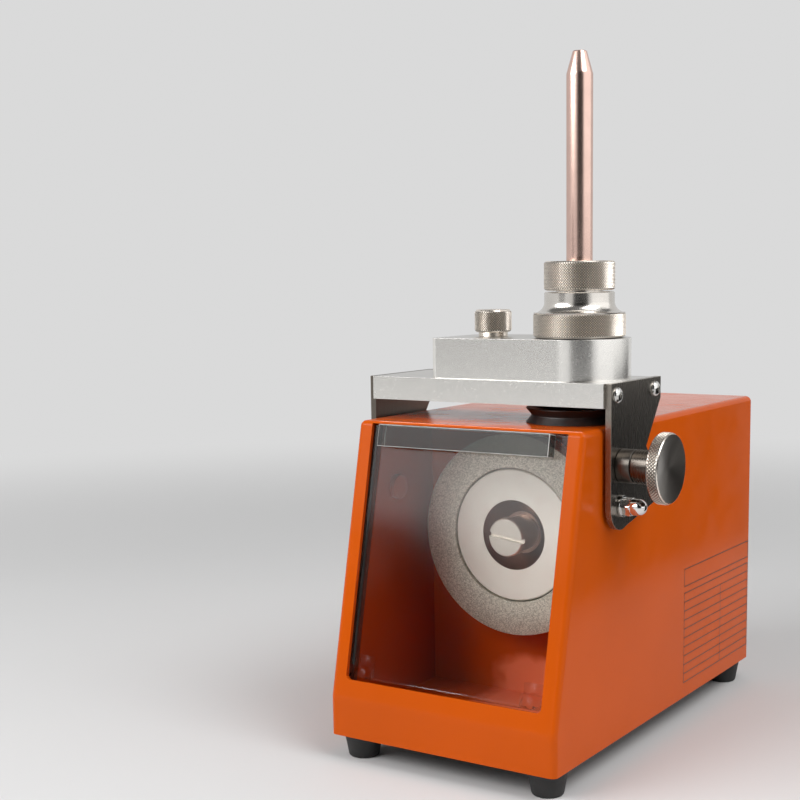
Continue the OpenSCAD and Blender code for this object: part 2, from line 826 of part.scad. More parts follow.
// side view of a bracket: an upright part, a neck, a sector and a round lower end
module bracket_2d() {
    y0 = bracket_y;
    y1 = y0 + bracket_d;
    z1 = plate_top - bracket_tail;
    neck_z = pivot_z + neck_rise;
    difference() {
        union() {
            polygon([[y0, pivot_z], [pivot_y + neck_in, neck_z], [y1, z1], [y1, plate_top], [y0, plate_top]]);
            intersection() {
                translate([pivot_y, pivot_z]) circle(sector_r);
                polygon([
                    [pivot_y - lobe_r, pivot_z],
                    [pivot_y, pivot_z - lobe_r],
                    [pivot_y + sector_r + 5, pivot_z - 2],
                    [pivot_y + sector_r + 5, neck_z],
                    [pivot_y - lobe_r, neck_z]]);
            }
            translate([pivot_y, pivot_z]) circle(lobe_r);
        }
        translate([pivot_y, pivot_z]) circle(d = pivot_d + 2 * fit);
        for (y = BRACKET_SCREWS)
            translate([y, screw_z]) circle(d = bracket_screw_d + 2 * fit);
    }
}

// curved slot about the tilt axis, as long as the tilt
module tilt_slot_2d() {
    slot = lock_stud_d / 2 + run;
    past = 1;
    translate([pivot_y, pivot_z]) {
        intersection() {
            difference() {
                circle(lock_r + slot);
                circle(lock_r - slot);
            }
            polygon([
                [0, 0],
                60 * [-sin(past), cos(past)],
                60 * [sin(tilt_max + past), cos(tilt_max + past)]]);
        }
        for (a = [-past, tilt_max + past])
            translate(lock_r * [sin(a), cos(a)]) circle(slot);
    }
}

module left_bracket()
    color([0.60, 0.59, 0.57])
    plate_x(-bracket_out, bracket_t) bracket_2d();

module right_bracket()
    color([0.60, 0.59, 0.57])
    plate_x(bracket_x, bracket_t)
        difference() {
            bracket_2d();
            tilt_slot_2d();
        }

// dome-head screws through the brackets into the ends of the plate
module bracket_screws()
    color([0.7, 0.7, 0.7])
    both_sides()
        for (y = BRACKET_SCREWS)
            translate([0, y, screw_z]) {
                rod_x(bracket_screw_d, plate_w / 2 - bracket_screw_l, bracket_out + 0.5, 0, 0);
                difference() {
                    translate([bracket_out, 0, 0]) rotate([0, 90, 0]) rotate_extrude()
                        polygon(concat([[0, 0], [3.6, 0]],
                            [for (a = [20 : 14 : 90]) [3.8 * cos(a), 2.2 * sin(a)]]));
                    translate([bracket_out + 0.9, 0, 0]) rotate([0, 90, 0]) cylinder(d = 2.8, h = 3, $fn = 6);
                }
            }

// studs that the head tilts on, flanged inside the case
module pivot_studs()
    color([0.6, 0.6, 0.62])
    both_sides() {
        rod_x(pivot_d, inner_x - 1, bracket_out + washer_t + run + stud_out, pivot_y, pivot_z);
        rod_x(pivot_d + 2 * flange_w, inner_x - flange_t, inner_x, pivot_y, pivot_z);
    }

module pivot_spacers()
    color([0.85, 0.84, 0.80])
    both_sides()
        difference() {
            rod_x(pivot_d + 2 * spacer_w, case_w / 2, bracket_x - slack, pivot_y, pivot_z);
            rod_x(pivot_d + 2 * fit, case_w / 2 - 1, bracket_x + 1, pivot_y, pivot_z);
        }

module pivot_washers()
    color([0.7, 0.7, 0.7])
    both_sides()
        difference() {
            rod_x(pivot_d + 2 * washer_w, bracket_out + slack, bracket_out + slack + washer_t,
                pivot_y, pivot_z);
            rod_x(pivot_d + 2 * fit, bracket_out - 1, bracket_out + 5, pivot_y, pivot_z);
        }

// domed nuts on the tilt studs
module acorn_nuts()
    color([0.80, 0.80, 0.80])
    both_sides()
        translate([bracket_out + slack + washer_t, pivot_y, pivot_z]) rotate([0, 90, 0])
            difference() {
                union() {
                    cylinder(d = nut_flats / cos(30), h = acorn_l * 0.4, $fn = 6);
                    rotate_extrude()
                        polygon(concat([[0, 0], [dome_r, 0], [dome_r, acorn_l - dome_r]],
                            [for (a = [10 : 10 : 90])
                                [dome_r * cos(a), acorn_l - dome_r + dome_r * sin(a)]]));
                }
                translate([0, 0, -1]) cylinder(d = pivot_d + 2 * fit, h = 7);
            }
dome_r = nut_flats / 2 - 0.2;

// stud through the curved slot, fixed in the side of the case
module lock_stud()
    color([0.6, 0.6, 0.62])
    union() {
        rod_x(lock_stud_d, inner_x - 1, knob_x + knob_hub_l + 1, pivot_y, lock_z);
        rod_x(lock_stud_d + 2 * washer_w, inner_x - flange_t, inner_x, pivot_y, lock_z);
    }
sleeve_x = bracket_out + slack;
knob_x = sleeve_x + lock_sleeve_l + run;

module lock_sleeve()
    color([0.74, 0.73, 0.71])
    difference() {
        rod_x(lock_hub_d, sleeve_x, sleeve_x + lock_sleeve_l, pivot_y, lock_z);
        rod_x(lock_stud_d + 2 * fit, sleeve_x - 1, sleeve_x + lock_sleeve_l + 1, pivot_y, lock_z);
    }

// knob with a hub, a broad grip and a dished face
module lock_knob()
    color([0.72, 0.71, 0.69])
    translate([knob_x, pivot_y, lock_z]) rotate([0, 90, 0]) rotate_extrude()
        polygon([
            [lock_stud_d / 2 + fit, 0],
            [lock_hub_d / 2, 0],
            [lock_hub_d / 2, knob_hub_l],
            [knob_d / 2 - 0.7, knob_hub_l],
            [knob_d / 2, knob_hub_l + 0.7],
            [knob_d / 2, knob_hub_l + knob_t - 0.7],
            [knob_d / 2 - 0.7, knob_hub_l + knob_t],
            [knob_d / 2 - 1.3, knob_hub_l + knob_t],
            [lock_stud_d / 2, knob_hub_l + knob_t - knob_dish],
            [0, knob_hub_l + knob_t - knob_dish],
            [0, knob_hub_l + 1.5],
            [lock_stud_d / 2 + fit, knob_hub_l + 1.5]]);

// plain bush pressed into the block
module spindle_bush()
    color([0.72, 0.55, 0.30])
    difference() {
        rod_z(bush_d, plate_top, block_top, electrode_x, head_y);
        rod_z(spindle_d + 2 * fit, plate_top - 1, block_top + 1, electrode_x, head_y);
    }

// points on the hollow curve between the grip and the neck
NECK = [for (a = [0 : 10 : 90])
    [collar_neck_d / 2 + neck_arc * (1 - sin(a)), grip_top + neck_arc * (1 - cos(a))]];

// spindle, knurled grip, hollow neck and stub of the chuck in one piece
module chuck_collar()
    color([0.70, 0.69, 0.67])
    difference() {
        translate([electrode_x, head_y, 0]) rotate_extrude()
            polygon(concat(
                [
                    [electrode_bore_d / 2 + bore_relief, spindle_end],
                    [spindle_d / 2, spindle_end],
                    [spindle_d / 2, collar_z],
                    [collar_d / 2 - 0.6, collar_z],
                    [collar_d / 2, collar_z + 0.6],
                    [collar_d / 2, grip_top]],
                NECK,
                [
                    [collar_neck_d / 2, neck_top],
                    [stub_d / 2, neck_top],
                    [stub_d / 2, stub_top],
                    [collet_d / 2 + fit, stub_top],
                    [collet_d / 2 + fit, pocket_z],
                    [electrode_bore_d / 2 + bore_relief, pocket_z]]));
        // groove for the retaining ring
        difference() {
            rod_z(spindle_d + 2, ring_z - clip_t - 2 * slack, ring_z, electrode_x, head_y);
            rod_z(spindle_d - 2, ring_z - 2, ring_z + 1, electrode_x, head_y);
        }
    }

// ring that keeps the spindle in its bush
module retaining_ring()
    color([0.25, 0.25, 0.26])
    difference() {
        rod_z(ring_d, ring_z - clip_t - slack, ring_z - slack, electrode_x, head_y);
        rod_z(spindle_d - 2 + 2 * fit, ring_z - 3, ring_z + 3, electrode_x, head_y);
        block([electrode_x - 3, head_y + 4, ring_z - 3], [electrode_x + 3, head_y + 40, ring_z + 3]);
    }

// slit collet around the foot of the tube
module collet()
    color([0.66, 0.66, 0.67])
    difference() {
        translate([electrode_x, head_y, 0]) rotate_extrude()
            polygon([
                [tube_d / 2 + fit, pocket_z],
                [collet_d / 2, pocket_z],
                [collet_d / 2, stub_top],
                [tube_d / 2 + 1, stub_top + nut_room - run],
                [tube_d / 2 + fit, stub_top + nut_room - run]]);
        for (a = [0, 120, 240])
            translate([electrode_x, head_y, pocket_z + 4]) rotate(a)
                block([0, -0.5, 0], [30, 0.5, 40]);
    }

// copper tube with a cone at its tip and the electrode's hole through it
module guide_tube()
    color([0.80, 0.48, 0.36])
    translate([electrode_x, head_y, 0]) rotate_extrude()
        polygon([
            [electrode_bore_d / 2, pocket_z],
            [tube_d / 2, pocket_z],
            [tube_d / 2, tube_top - tip_l],
            [tip_d / 2, tube_top],
            [electrode_bore_d / 2, tube_top]]);

module chuck_nut()
    color([0.70, 0.69, 0.67])
    translate([electrode_x, head_y, 0]) rotate_extrude()
        polygon([
            [stub_d / 2 + fit, nut_z],
            [nut_d / 2 - 0.5, nut_z],
            [nut_d / 2, nut_z + 0.5],
            [nut_d / 2, nut_top - 0.5],
            [nut_d / 2 - 0.5, nut_top],
            [tube_d / 2 + run, nut_top],
            [tube_d / 2 + run, stub_top + nut_room],
            [collet_d / 2 + 0.4, stub_top + nut_room],
            [collet_d / 2 + 0.4, stub_top + run],
            [stub_d / 2 + fit, stub_top + run]]);

// knurled screw in the top of the block
module thumb_screw()
    color([0.68, 0.66, 0.63])
    translate([-thumb_x, head_y, block_top]) rotate_extrude()
        polygon([
            [0, -thumb_screw_l],
            [thumb_screw_d / 2, -thumb_screw_l],
            [thumb_screw_d / 2, slack],
            [thumb_neck_d / 2, slack],
            [thumb_neck_d / 2, thumb_neck_h],
            [thumb_d / 2 - 0.6, thumb_neck_h],
            [thumb_d / 2, thumb_neck_h + 0.6],
            [thumb_d / 2, thumb_neck_h + thumb_h - 0.8],
            [thumb_d / 2 - 0.8, thumb_neck_h + thumb_h],
            [0, thumb_neck_h + thumb_h]]);

module switch_bezel()
    color([0.07, 0.07, 0.07])
    difference() {
        union() {
            translate([-switch_x, back + bezel_t, socket_z]) rotate([90, 0, 0])
                linear_extrude(bezel_t) round_rect(switch_w + 2 * bezel_lip, switch_h + 2 * bezel_lip, 1);
            block([-switch_x - switch_w / 2 + slack, back - switch_depth, socket_z - switch_h / 2 + slack],
                [-switch_x + switch_w / 2 - slack, back + 0.5, socket_z + switch_h / 2 - slack]);
        }
        translate([-switch_x, back + 9, socket_z]) rotate([90, 0, 0]) linear_extrude(switch_depth + 7)
            square([switch_w - 2 * switch_wall, switch_h - 2 * switch_wall], center = true);
        rod_x(rocker_axle_d + 2 * fit, -switch_x - switch_w, -switch_x + switch_w, rocker_y, socket_z);
    }

// rocker in two flats that meet over its axle, tipped to one side at rest
module switch_rocker()
    color([0.55, 0.06, 0.05])
    union() {
        translate([-switch_x, rocker_y, socket_z]) rotate([rocker_tilt, 0, 0]) {
            plate_x(-switch_w / 2 + switch_wall + run, switch_w - 2 * switch_wall - 2 * run)
                polygon([
                    [-4, 0],
                    [-2, -5],
                    [rocker_out, -rocker_half],
                    [rocker_out - 1.2, 0],
                    [rocker_out, rocker_half],
                    [-2, 5]]);
            rod_x(rocker_axle_d, -switch_w / 2 + slack, switch_w / 2 - slack, 0, 0);
        }
    }

module power_inlet()
    color([0.06, 0.06, 0.06])
    difference() {
        union() {
            translate([inlet_x, back + inlet_flange_t, socket_z]) rotate([90, 0, 0])
                linear_extrude(inlet_flange_t) round_rect(inlet_flange_w, inlet_h + 2.4, 3);
            block([inlet_x - inlet_w / 2 + slack, back - inlet_depth, socket_z - inlet_h / 2 + slack],
                [inlet_x + inlet_w / 2 - slack, back + 0.5, socket_z + inlet_h / 2 - slack]);
        }
        // mouth with its two upper corners cut off
        translate([inlet_x, back + 9, socket_z]) rotate([90, 0, 0]) linear_extrude(mouth_depth + 9)
            polygon([
                [-mouth_w / 2, -mouth_h / 2],
                [mouth_w / 2, -mouth_h / 2],
                [mouth_w / 2, mouth_h / 2 - mouth_cut],
                [mouth_w / 2 - mouth_cut, mouth_h / 2],
                [-mouth_w / 2 + mouth_cut, mouth_h / 2],
                [-mouth_w / 2, mouth_h / 2 - mouth_cut]]);
        for (s = [-1, 1])
            rod_y(inlet_screw_d, back - 5, back + 9, inlet_x + s * inlet_screw_x, socket_z);
        contacts(back - inlet_depth - 1, back);
    }

// three flat contacts between two stations, the middle one higher
module contacts(y0, y1)
    for (p = [[-contact_x, -contact_z], [0, contact_h - contact_z], [contact_x, -contact_z]])
        block([inlet_x + p[0] - contact_w / 2, y0, socket_z + p[1] - contact_h / 2],
            [inlet_x + p[0] + contact_w / 2, y1, socket_z + p[1] + contact_h / 2]);

module inlet_pins()
    color([0.75, 0.70, 0.55])
    contacts(back - inlet_depth - 5, back - 3);

housing();
base_plate();
base_screws();
rubber_feet();
foot_screws();
chamber_wall();
dust_seal();
window_frame();
window_pane();
window_grip();
hinge_tabs();
motor_can();
motor_end_cap();
motor_screws();
motor_rotor();
front_bearing();
rear_bearing();
motor_shaft();
wheel_hub();
abrasive_ring();
arbor_screw();
head_plate();
head_block();
block_screws();
left_bracket();
right_bracket();
bracket_screws();
pivot_studs();
pivot_spacers();
pivot_washers();
acorn_nuts();
lock_stud();
lock_sleeve();
lock_knob();
spindle_bush();
chuck_collar();
retaining_ring();
collet();
guide_tube();
chuck_nut();
thumb_screw();
switch_bezel();
switch_rocker();
power_inlet();
inlet_pins();
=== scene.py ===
"""Looks of a bench grinder for welding electrodes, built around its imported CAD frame."""
import math

import bmesh
import bpy
from mathutils import Matrix, Vector


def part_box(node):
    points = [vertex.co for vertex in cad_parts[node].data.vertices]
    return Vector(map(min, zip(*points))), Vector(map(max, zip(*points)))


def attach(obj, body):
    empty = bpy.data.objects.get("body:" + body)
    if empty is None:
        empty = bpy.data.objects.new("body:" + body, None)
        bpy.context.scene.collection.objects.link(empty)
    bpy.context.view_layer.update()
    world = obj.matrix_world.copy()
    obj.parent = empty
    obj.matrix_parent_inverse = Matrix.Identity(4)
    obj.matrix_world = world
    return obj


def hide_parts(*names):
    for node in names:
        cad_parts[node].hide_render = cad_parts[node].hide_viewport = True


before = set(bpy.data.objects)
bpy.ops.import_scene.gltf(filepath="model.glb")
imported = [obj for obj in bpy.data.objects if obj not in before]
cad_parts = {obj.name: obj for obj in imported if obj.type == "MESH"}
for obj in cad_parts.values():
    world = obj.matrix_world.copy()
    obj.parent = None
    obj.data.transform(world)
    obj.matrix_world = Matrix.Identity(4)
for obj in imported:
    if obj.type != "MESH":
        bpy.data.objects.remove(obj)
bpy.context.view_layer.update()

MM = 0.001
TURN = 2 * math.pi
TINY = 1e-9
X, Y, Z = (1, 0, 0), (0, 1, 0), (0, 0, 1)

# Where the values of a noise mostly lie
NOISE_SPAN = (0.3, 0.7)
# How fast clear sheet turns into a mirror towards low angles
GLANCE_POWER = 5.0
# Refined CAD meshes: points this close are one, facets this flat are one, sharper edges get rounded
WELD = 1e-6
FLAT = math.radians(0.4)
ROUNDED = math.radians(40)
# A profile's corners that are blunter than this stay as they are
BLUNT = math.radians(165)

ORANGE = (0.595, 0.0895, 0.0035)
# The case's orange darkened: painted shade on the inside of the case
INNER_SHADE = (0.40, 0.048, 0.003)
# Pale pinkish orange: painted light, where light falls into the chamber through the window
LIT_PATCH = (0.95, 0.25, 0.115)
STEEL = (0.87, 0.795, 0.71)
ZINC = (0.62, 0.62, 0.60)

# Knurls: depth of the grooves, and the pitch of the fine and the coarse ones
GROOVE = 0.5 * MM
FINE = 1.2 * MM
COARSE = 1.55 * MM

# Studio: grey of the backdrop as the camera and mirrors see it, and strength of the room's light
PALE = 0.70
ROOM = 0.15


# Materials

class Finish:
    """A node material around one Principled shader, with helpers that add surface detail."""

    def __init__(self, name, colour, metallic=0.0, roughness=0.5, **sockets):
        self.mat = bpy.data.materials.new(name)
        self.mat.use_nodes = True
        self.tree = self.mat.node_tree
        self.shader = self.tree.nodes["Principled BSDF"]
        self.set("Base Color", (*colour, 1.0))
        self.set("Metallic", metallic)
        self.set("Roughness", roughness)
        for key, value in sockets.items():
            self.set(key.replace("_", " ").title().replace("Ior", "IOR"), value)

    def set(self, socket, value):
        self.shader.inputs[socket].default_value = value

    def node(self, kind, **values):
        n = self.tree.nodes.new(kind)
        for key, value in values.items():
            setattr(n, key, value)
        return n

    def link(self, a, b):
        self.tree.links.new(a, b)

    def compute(self, operation, *values):
        """Arithmetic on values that are sockets or plain numbers."""
        n = self.node("ShaderNodeMath", operation=operation)
        for socket, value in zip(n.inputs, values):
            if isinstance(value, bpy.types.NodeSocket):
                self.link(value, socket)
            else:
                socket.default_value = value
        return n.outputs["Value"]

    def span(self, value, from_range=(0.0, 1.0), to_range=(0.0, 1.0), **values):
        """The value carried from one range to another, and held at its ends."""
        n = self.node("ShaderNodeMapRange", **values)
        names = ("From Min", "From Max", "To Min", "To Max")
        for name, end in zip(names, (*from_range, *to_range)):
            n.inputs[name].default_value = end
        self.link(value, n.inputs["Value"])
        return n.outputs["Result"]

    def mix(self, share, first, second):
        """The surface becomes a mix of two shaders."""
        n = self.node("ShaderNodeMixShader")
        self.link(share, n.inputs["Fac"])
        self.link(first, n.inputs[1])
        self.link(second, n.inputs[2])
        self.link(n.outputs["Shader"], self.tree.nodes["Material Output"].inputs["Surface"])

    def place(self, stretch=(1, 1, 1)):
        """Object coordinates, stretched along the axes."""
        coords = self.node("ShaderNodeTexCoord")
        mapping = self.node("ShaderNodeMapping")
        mapping.inputs["Scale"].default_value = stretch
        self.link(coords.outputs["Object"], mapping.inputs["Vector"])
        return mapping.outputs["Vector"]

    def apart(self):
        """Object coordinates as separate X, Y and Z."""
        n = self.node("ShaderNodeSeparateXYZ")
        self.link(self.place(), n.inputs["Vector"])
        return n.outputs

    def noise(self, size_mm, detail=3.0, stretch=(1, 1, 1)):
        """Noise whose features are about this many millimetres across."""
        tex = self.node("ShaderNodeTexNoise")
        tex.inputs["Scale"].default_value = 1.0 / (size_mm * MM)
        tex.inputs["Detail"].default_value = detail
        self.link(self.place(stretch), tex.inputs["Vector"])
        return tex.outputs["Fac"]

    def grains(self, size_mm):
        """Grains: a random colour for each, and the distance from its middle."""
        tex = self.node("ShaderNodeTexVoronoi")
        tex.inputs["Scale"].default_value = 1.0 / (size_mm * MM)
        self.link(self.place(), tex.inputs["Vector"])
        return tex.outputs["Color"], tex.outputs["Distance"]

    def reach(self, centre, axis):
        """Distance from an axis."""
        shift = self.node("ShaderNodeVectorMath", operation="SUBTRACT")
        shift.inputs[1].default_value = centre
        self.link(self.place(), shift.inputs[0])
        flat = self.node("ShaderNodeVectorMath", operation="MULTIPLY")
        flat.inputs[1].default_value = [1.0 - abs(a) for a in axis]
        self.link(shift.outputs["Vector"], flat.inputs[0])
        length = self.node("ShaderNodeVectorMath", operation="LENGTH")
        self.link(flat.outputs["Vector"], length.inputs[0])
        return length.outputs["Value"]

    def turned(self, centre, axis, pitch_mm):
        """Fine lathe lines around an axis, on its side and on its faces."""
        along = self.node("ShaderNodeVectorMath", operation="DOT_PRODUCT")
        along.inputs[1].default_value = axis
        self.link(self.place(), along.inputs[0])
        both = self.compute("ADD", along.outputs["Value"], self.reach(centre, axis))
        tex = self.node("ShaderNodeTexNoise", noise_dimensions="1D")
        tex.inputs["Scale"].default_value = 1.0 / (pitch_mm * MM)
        tex.inputs["Detail"].default_value = 4.0
        self.link(both, tex.inputs["W"])
        return tex.outputs["Fac"]

    def roughen(self, fac, low, high):
        """The roughness runs from low to high with the detail."""
        self.link(self.span(fac, NOISE_SPAN, (low, high)), self.shader.inputs["Roughness"])

    def tint(self, fac, low, high):
        """The colour runs from low to high with the detail."""
        ramp = self.node("ShaderNodeValToRGB")
        for stop, position, colour in zip(ramp.color_ramp.elements, NOISE_SPAN, (low, high)):
            stop.position = position
            stop.color = (*colour, 1.0)
        self.link(fac, ramp.inputs["Fac"])
        self.link(ramp.outputs["Color"], self.shader.inputs["Base Color"])

    def bump(self, fac, strength, depth_mm):
        """Raises the surface with the detail."""
        n = self.node("ShaderNodeBump")
        n.inputs["Strength"].default_value = strength
        n.inputs["Distance"].default_value = depth_mm * MM
        self.link(fac, n.inputs["Height"])
        self.link(n.outputs["Normal"], self.shader.inputs["Normal"])


def scaled(colour, k):
    return tuple(min(1.0, c * k) for c in colour)


def grey(value):
    return (value, value, value)


def paint(name, colour, roughness, peel):
    """Stoved paint: slightly cloudy gloss over an orange-peel surface."""
    f = Finish(name, colour, 0.0, roughness, specular_ior_level=0.12)
    f.tint(f.noise(60, 2), scaled(colour, 0.96), scaled(colour, 1.04))
    f.roughen(f.noise(14, 4), roughness * 0.75, roughness * 1.35)
    f.bump(f.noise(2.2, 2), peel, 0.05)
    return f


def blasted(name, colour, roughness, grain=0.35):
    """Bead-blasted metal: even, matt and finely pitted."""
    f = Finish(name, colour, 1.0, roughness)
    f.tint(f.noise(2.5, 4), scaled(colour, 0.98), scaled(colour, 1.02))
    f.roughen(f.noise(0.9, 3), roughness * 0.9, roughness * 1.1)
    f.bump(f.noise(grain, 2), 0.01, 0.02)
    return f


def brushed(name, colour, roughness, stretch, depth=1.0):
    """Brushed metal: long fine scratches along the axis with the least stretch."""
    f = Finish(name, colour, 1.0, roughness)
    dark, light = scaled(colour, 1 - 0.14 * depth), scaled(colour, 1 + 0.1 * depth)
    f.tint(f.noise(0.5, 3, stretch), dark, light)
    smooth, rough = roughness * (1 - 0.3 * depth), roughness * (1 + 0.35 * depth)
    f.roughen(f.noise(0.7, 4, stretch), smooth, rough)
    f.bump(f.noise(0.35, 3, stretch), 0.25 * depth, 0.03)
    return f


def lathed(name, colour, roughness, centre, axis, pitch=0.3, depth=0.5):
    """Turned metal: fine rings about its axis and a little cloudiness."""
    f = Finish(name, colour, 1.0, roughness)
    rings = f.turned(centre, axis, pitch)
    f.tint(f.noise(8, 3), scaled(colour, 0.96), scaled(colour, 1.04))
    f.roughen(rings, roughness * (1 - 0.5 * depth), roughness * (1 + 0.5 * depth))
    f.bump(rings, 0.25 * depth, 0.02)
    return f


def spun(name, colour, roughness, centre, axis):
    """A faced disc: gloss drawn out across its fine rings."""
    f = lathed(name, colour, roughness, centre, axis, 0.4, 0.15)
    f.set("Anisotropic", 0.75)
    around = f.node("ShaderNodeTangent", direction_type="RADIAL", axis="XYZ"[axis.index(1)])
    f.link(around.outputs["Tangent"], f.shader.inputs["Tangent"])
    return f


def knurled(name, colour, centre, axis, radius):
    """Knurled metal: a painted highlight on the points and painted shade down in the grooves."""
    f = blasted(name, colour, 0.30, 0.8)
    shade_to_highlight = f.span(f.reach(centre, axis), (radius - GROOVE, radius))
    # Painted shade in the grooves, painted highlight on the points
    f.tint(shade_to_highlight, scaled(colour, 0.42), scaled(colour, 1.14))
    return f


def moulded(name, colour, roughness, grain=0.6, strength=0.15):
    """Moulded rubber or plastic: faint mottling and a fine grain."""
    f = Finish(name, colour, 0.0, roughness)
    f.tint(f.noise(6, 3), scaled(colour, 0.8), scaled(colour, 1.25))
    f.roughen(f.noise(3, 3), roughness * 0.85, min(1.0, roughness * 1.15))
    f.bump(f.noise(grain, 2), strength, 0.04)
    return f


def clear(name, tint, gloss, mirrored=0.045):
    """Clear sheet: light goes straight through, and the surface mirrors at low angles."""
    f = Finish(name, tint, 0.0, gloss)
    through = f.node("ShaderNodeBsdfTransparent")
    through.inputs["Color"].default_value = (*tint, 1.0)
    mirror = f.node("ShaderNodeBsdfGlossy")
    smear = f.span(f.noise(20, 3), to_range=(gloss * 0.6, gloss * 1.6))
    f.link(smear, mirror.inputs["Roughness"])
    facing = f.node("ShaderNodeLayerWeight")
    facing.inputs["Blend"].default_value = 0.5
    steep = f.compute("POWER", facing.outputs["Facing"], GLANCE_POWER)
    share = f.span(steep, to_range=(mirrored, 1.0))
    f.mix(share, through.outputs["BSDF"], mirror.outputs["BSDF"])
    return f


def grit(name):
    """Grit in a plated bond: dark and bright grains side by side, standing out of the surface."""
    f = Finish(name, (0.42, 0.41, 0.38), 0.55, 0.5)
    colour, edge = f.grains(0.4)
    value = f.node("ShaderNodeSeparateColor")
    f.link(colour, value.inputs["Color"])
    f.tint(value.outputs["Red"], (0.44, 0.425, 0.365), (0.76, 0.735, 0.65))
    f.roughen(value.outputs["Green"], 0.32, 0.62)
    f.bump(edge, 0.25, 0.12)
    return f


def lit_patch_paint(name):
    """Paint with a painted pool of light on the chamber's floor and low on its wall, right of the
    middle.
    """
    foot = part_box("chamber_wall")[0][2]
    f = paint(name, ORANGE, 0.2, 0.1)
    spot = f.apart()
    low_down = f.span(spot["Z"], (foot + 30 * MM, foot + 12 * MM), interpolation_type="SMOOTHSTEP")
    to_right = f.span(spot["X"], (-38 * MM, 0.0), interpolation_type="SMOOTHSTEP")
    # Painted light: strongest low down and right of the middle, broken into patches
    dust = f.compute("MULTIPLY", low_down, to_right)
    patches = f.compute("MULTIPLY_ADD", dust, f.noise(9, 5), f.compute("MULTIPLY", dust, 0.5))
    f.tint(patches, ORANGE, LIT_PATCH)
    return f


def half_painted_zinc(name, inner_half):
    """Zinc on the outside of the case, painted over inside it in the darkened orange, which is
    painted shade.
    """
    f = brushed(name, ZINC, 0.35, (0.2, 1.0, 1.0))
    outside = f.compute("GREATER_THAN", f.compute("ABSOLUTE", f.apart()["X"]), inner_half)
    f.link(outside, f.shader.inputs["Metallic"])
    f.tint(outside, INNER_SHADE, ZINC)
    return f


# Meshes

def new_mesh(name, bm):
    mesh = bpy.data.meshes.new(name)
    bm.to_mesh(mesh)
    bm.free()
    return mesh


def add_object(name, mesh, materials):
    obj = bpy.data.objects.new(name, mesh)
    bpy.context.scene.collection.objects.link(obj)
    for f in materials:
        mesh.materials.append(f.mat)
    return obj


def settle(obj, body, slot, *nodes):
    """The piece rides a body and stands for its CAD nodes, which it hides; the slot is not used."""
    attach(obj, body)
    if nodes:
        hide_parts(*nodes)


def refine(node, body, slot, finish, bevel=0.3, segments=2, bright=None, other=None, where=None):
    """The CAD solid with its sharp edges rounded, with a bright finish along those edges if asked.

    The faces that where picks take the other finish.
    """
    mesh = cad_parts[node].data.copy()
    mesh.materials.clear()
    bm = bmesh.new()
    bm.from_mesh(mesh)
    bmesh.ops.remove_doubles(bm, verts=bm.verts, dist=WELD)
    bmesh.ops.dissolve_limit(bm, angle_limit=FLAT, verts=bm.verts, edges=bm.edges)
    other_index = 2 if bright else 1
    for face in bm.faces:
        face.smooth = True
        face.material_index = other_index if other and where(face) else 0
    bm.to_mesh(mesh)
    bm.free()
    obj = add_object(node + "_piece", mesh, [finish] + [f for f in (bright, other) if f])
    if bevel:
        mod = obj.modifiers.new("edges", "BEVEL")
        mod.width = bevel * MM
        mod.segments = segments
        mod.limit_method = "ANGLE"
        mod.angle_limit = ROUNDED
        mod.material = 1 if bright else -1
    weigh = obj.modifiers.new("normals", "WEIGHTED_NORMAL")
    weigh.weight = 100
    settle(obj, body, slot, node)


def placement(centre, axis):
    """A frame at centre whose Z runs along axis."""
    turn = Vector(Z).rotation_difference(Vector(axis))
    return Matrix.Translation(Vector(centre)) @ turn.to_matrix().to_4x4()


def aimed(place, target):
    """A frame at place whose -Z looks at target."""
    look = Vector(target) - Vector(place)
    return Matrix.Translation(place) @ look.to_track_quat("-Z", "Y").to_matrix().to_4x4()


def angles(start, stop, step):
    """Angles in radians, from a range in whole degrees."""
    return [math.radians(d) for d in range(start, stop, step)]


def revolve(bm, rows, where, count=96, material=0):
    """Adds a turned shape. Each row is (radius, height), and a radius may depend on the angle."""
    rings = []
    for radius, height in rows:
        if not callable(radius) and radius <= TINY:
            rings.append([bm.verts.new(where @ Vector((0, 0, height)))])
            continue
        ring = []
        for i in range(count):
            a = TURN * i / count
            r = radius(a) if callable(radius) else radius
            ring.append(bm.verts.new(where @ Vector((r * math.cos(a), r * math.sin(a), height))))
        rings.append(ring)
    for low, high in zip(rings, rings[1:]):
        for i in range(count):
            j = (i + 1) % count
            corners = [low[i % len(low)], low[j % len(low)], high[j % len(high)], high[i % len(high)]]
            corners = [v for k, v in enumerate(corners) if v not in corners[:k]]
            if len(corners) > 2:
                face = bm.faces.new(corners)
                face.smooth = True
                face.material_index = material


def knurl(bm, radius, low, high, pitch, where):
    """A band of small pyramids between two heights, split along the grooves between them."""
    count = 2 * round(TURN * radius / pitch)
    steps = 2 * max(1, round((high - low) / pitch))
    rings = []
    for j in range(steps + 1):
        height = low + (high - low) * j / steps
        ring = []
        for i in range(count):
            a = TURN * i / count
            in_groove = (i + j) % 2 == 0 or j in (0, steps)
            r = radius - (GROOVE if in_groove else 0.0)
            ring.append(bm.verts.new(where @ Vector((r * math.cos(a), r * math.sin(a), height))))
        rings.append(ring)
    for j in range(steps):
        for i in range(count):
            k = (i + 1) % count
            a, b, c, d = rings[j][i], rings[j][k], rings[j + 1][k], rings[j + 1][i]
            split = ((a, b, c), (a, c, d)) if (i + j) % 2 == 0 else ((a, b, d), (b, c, d))
            for corners in split:
                bm.faces.new(corners).smooth = False


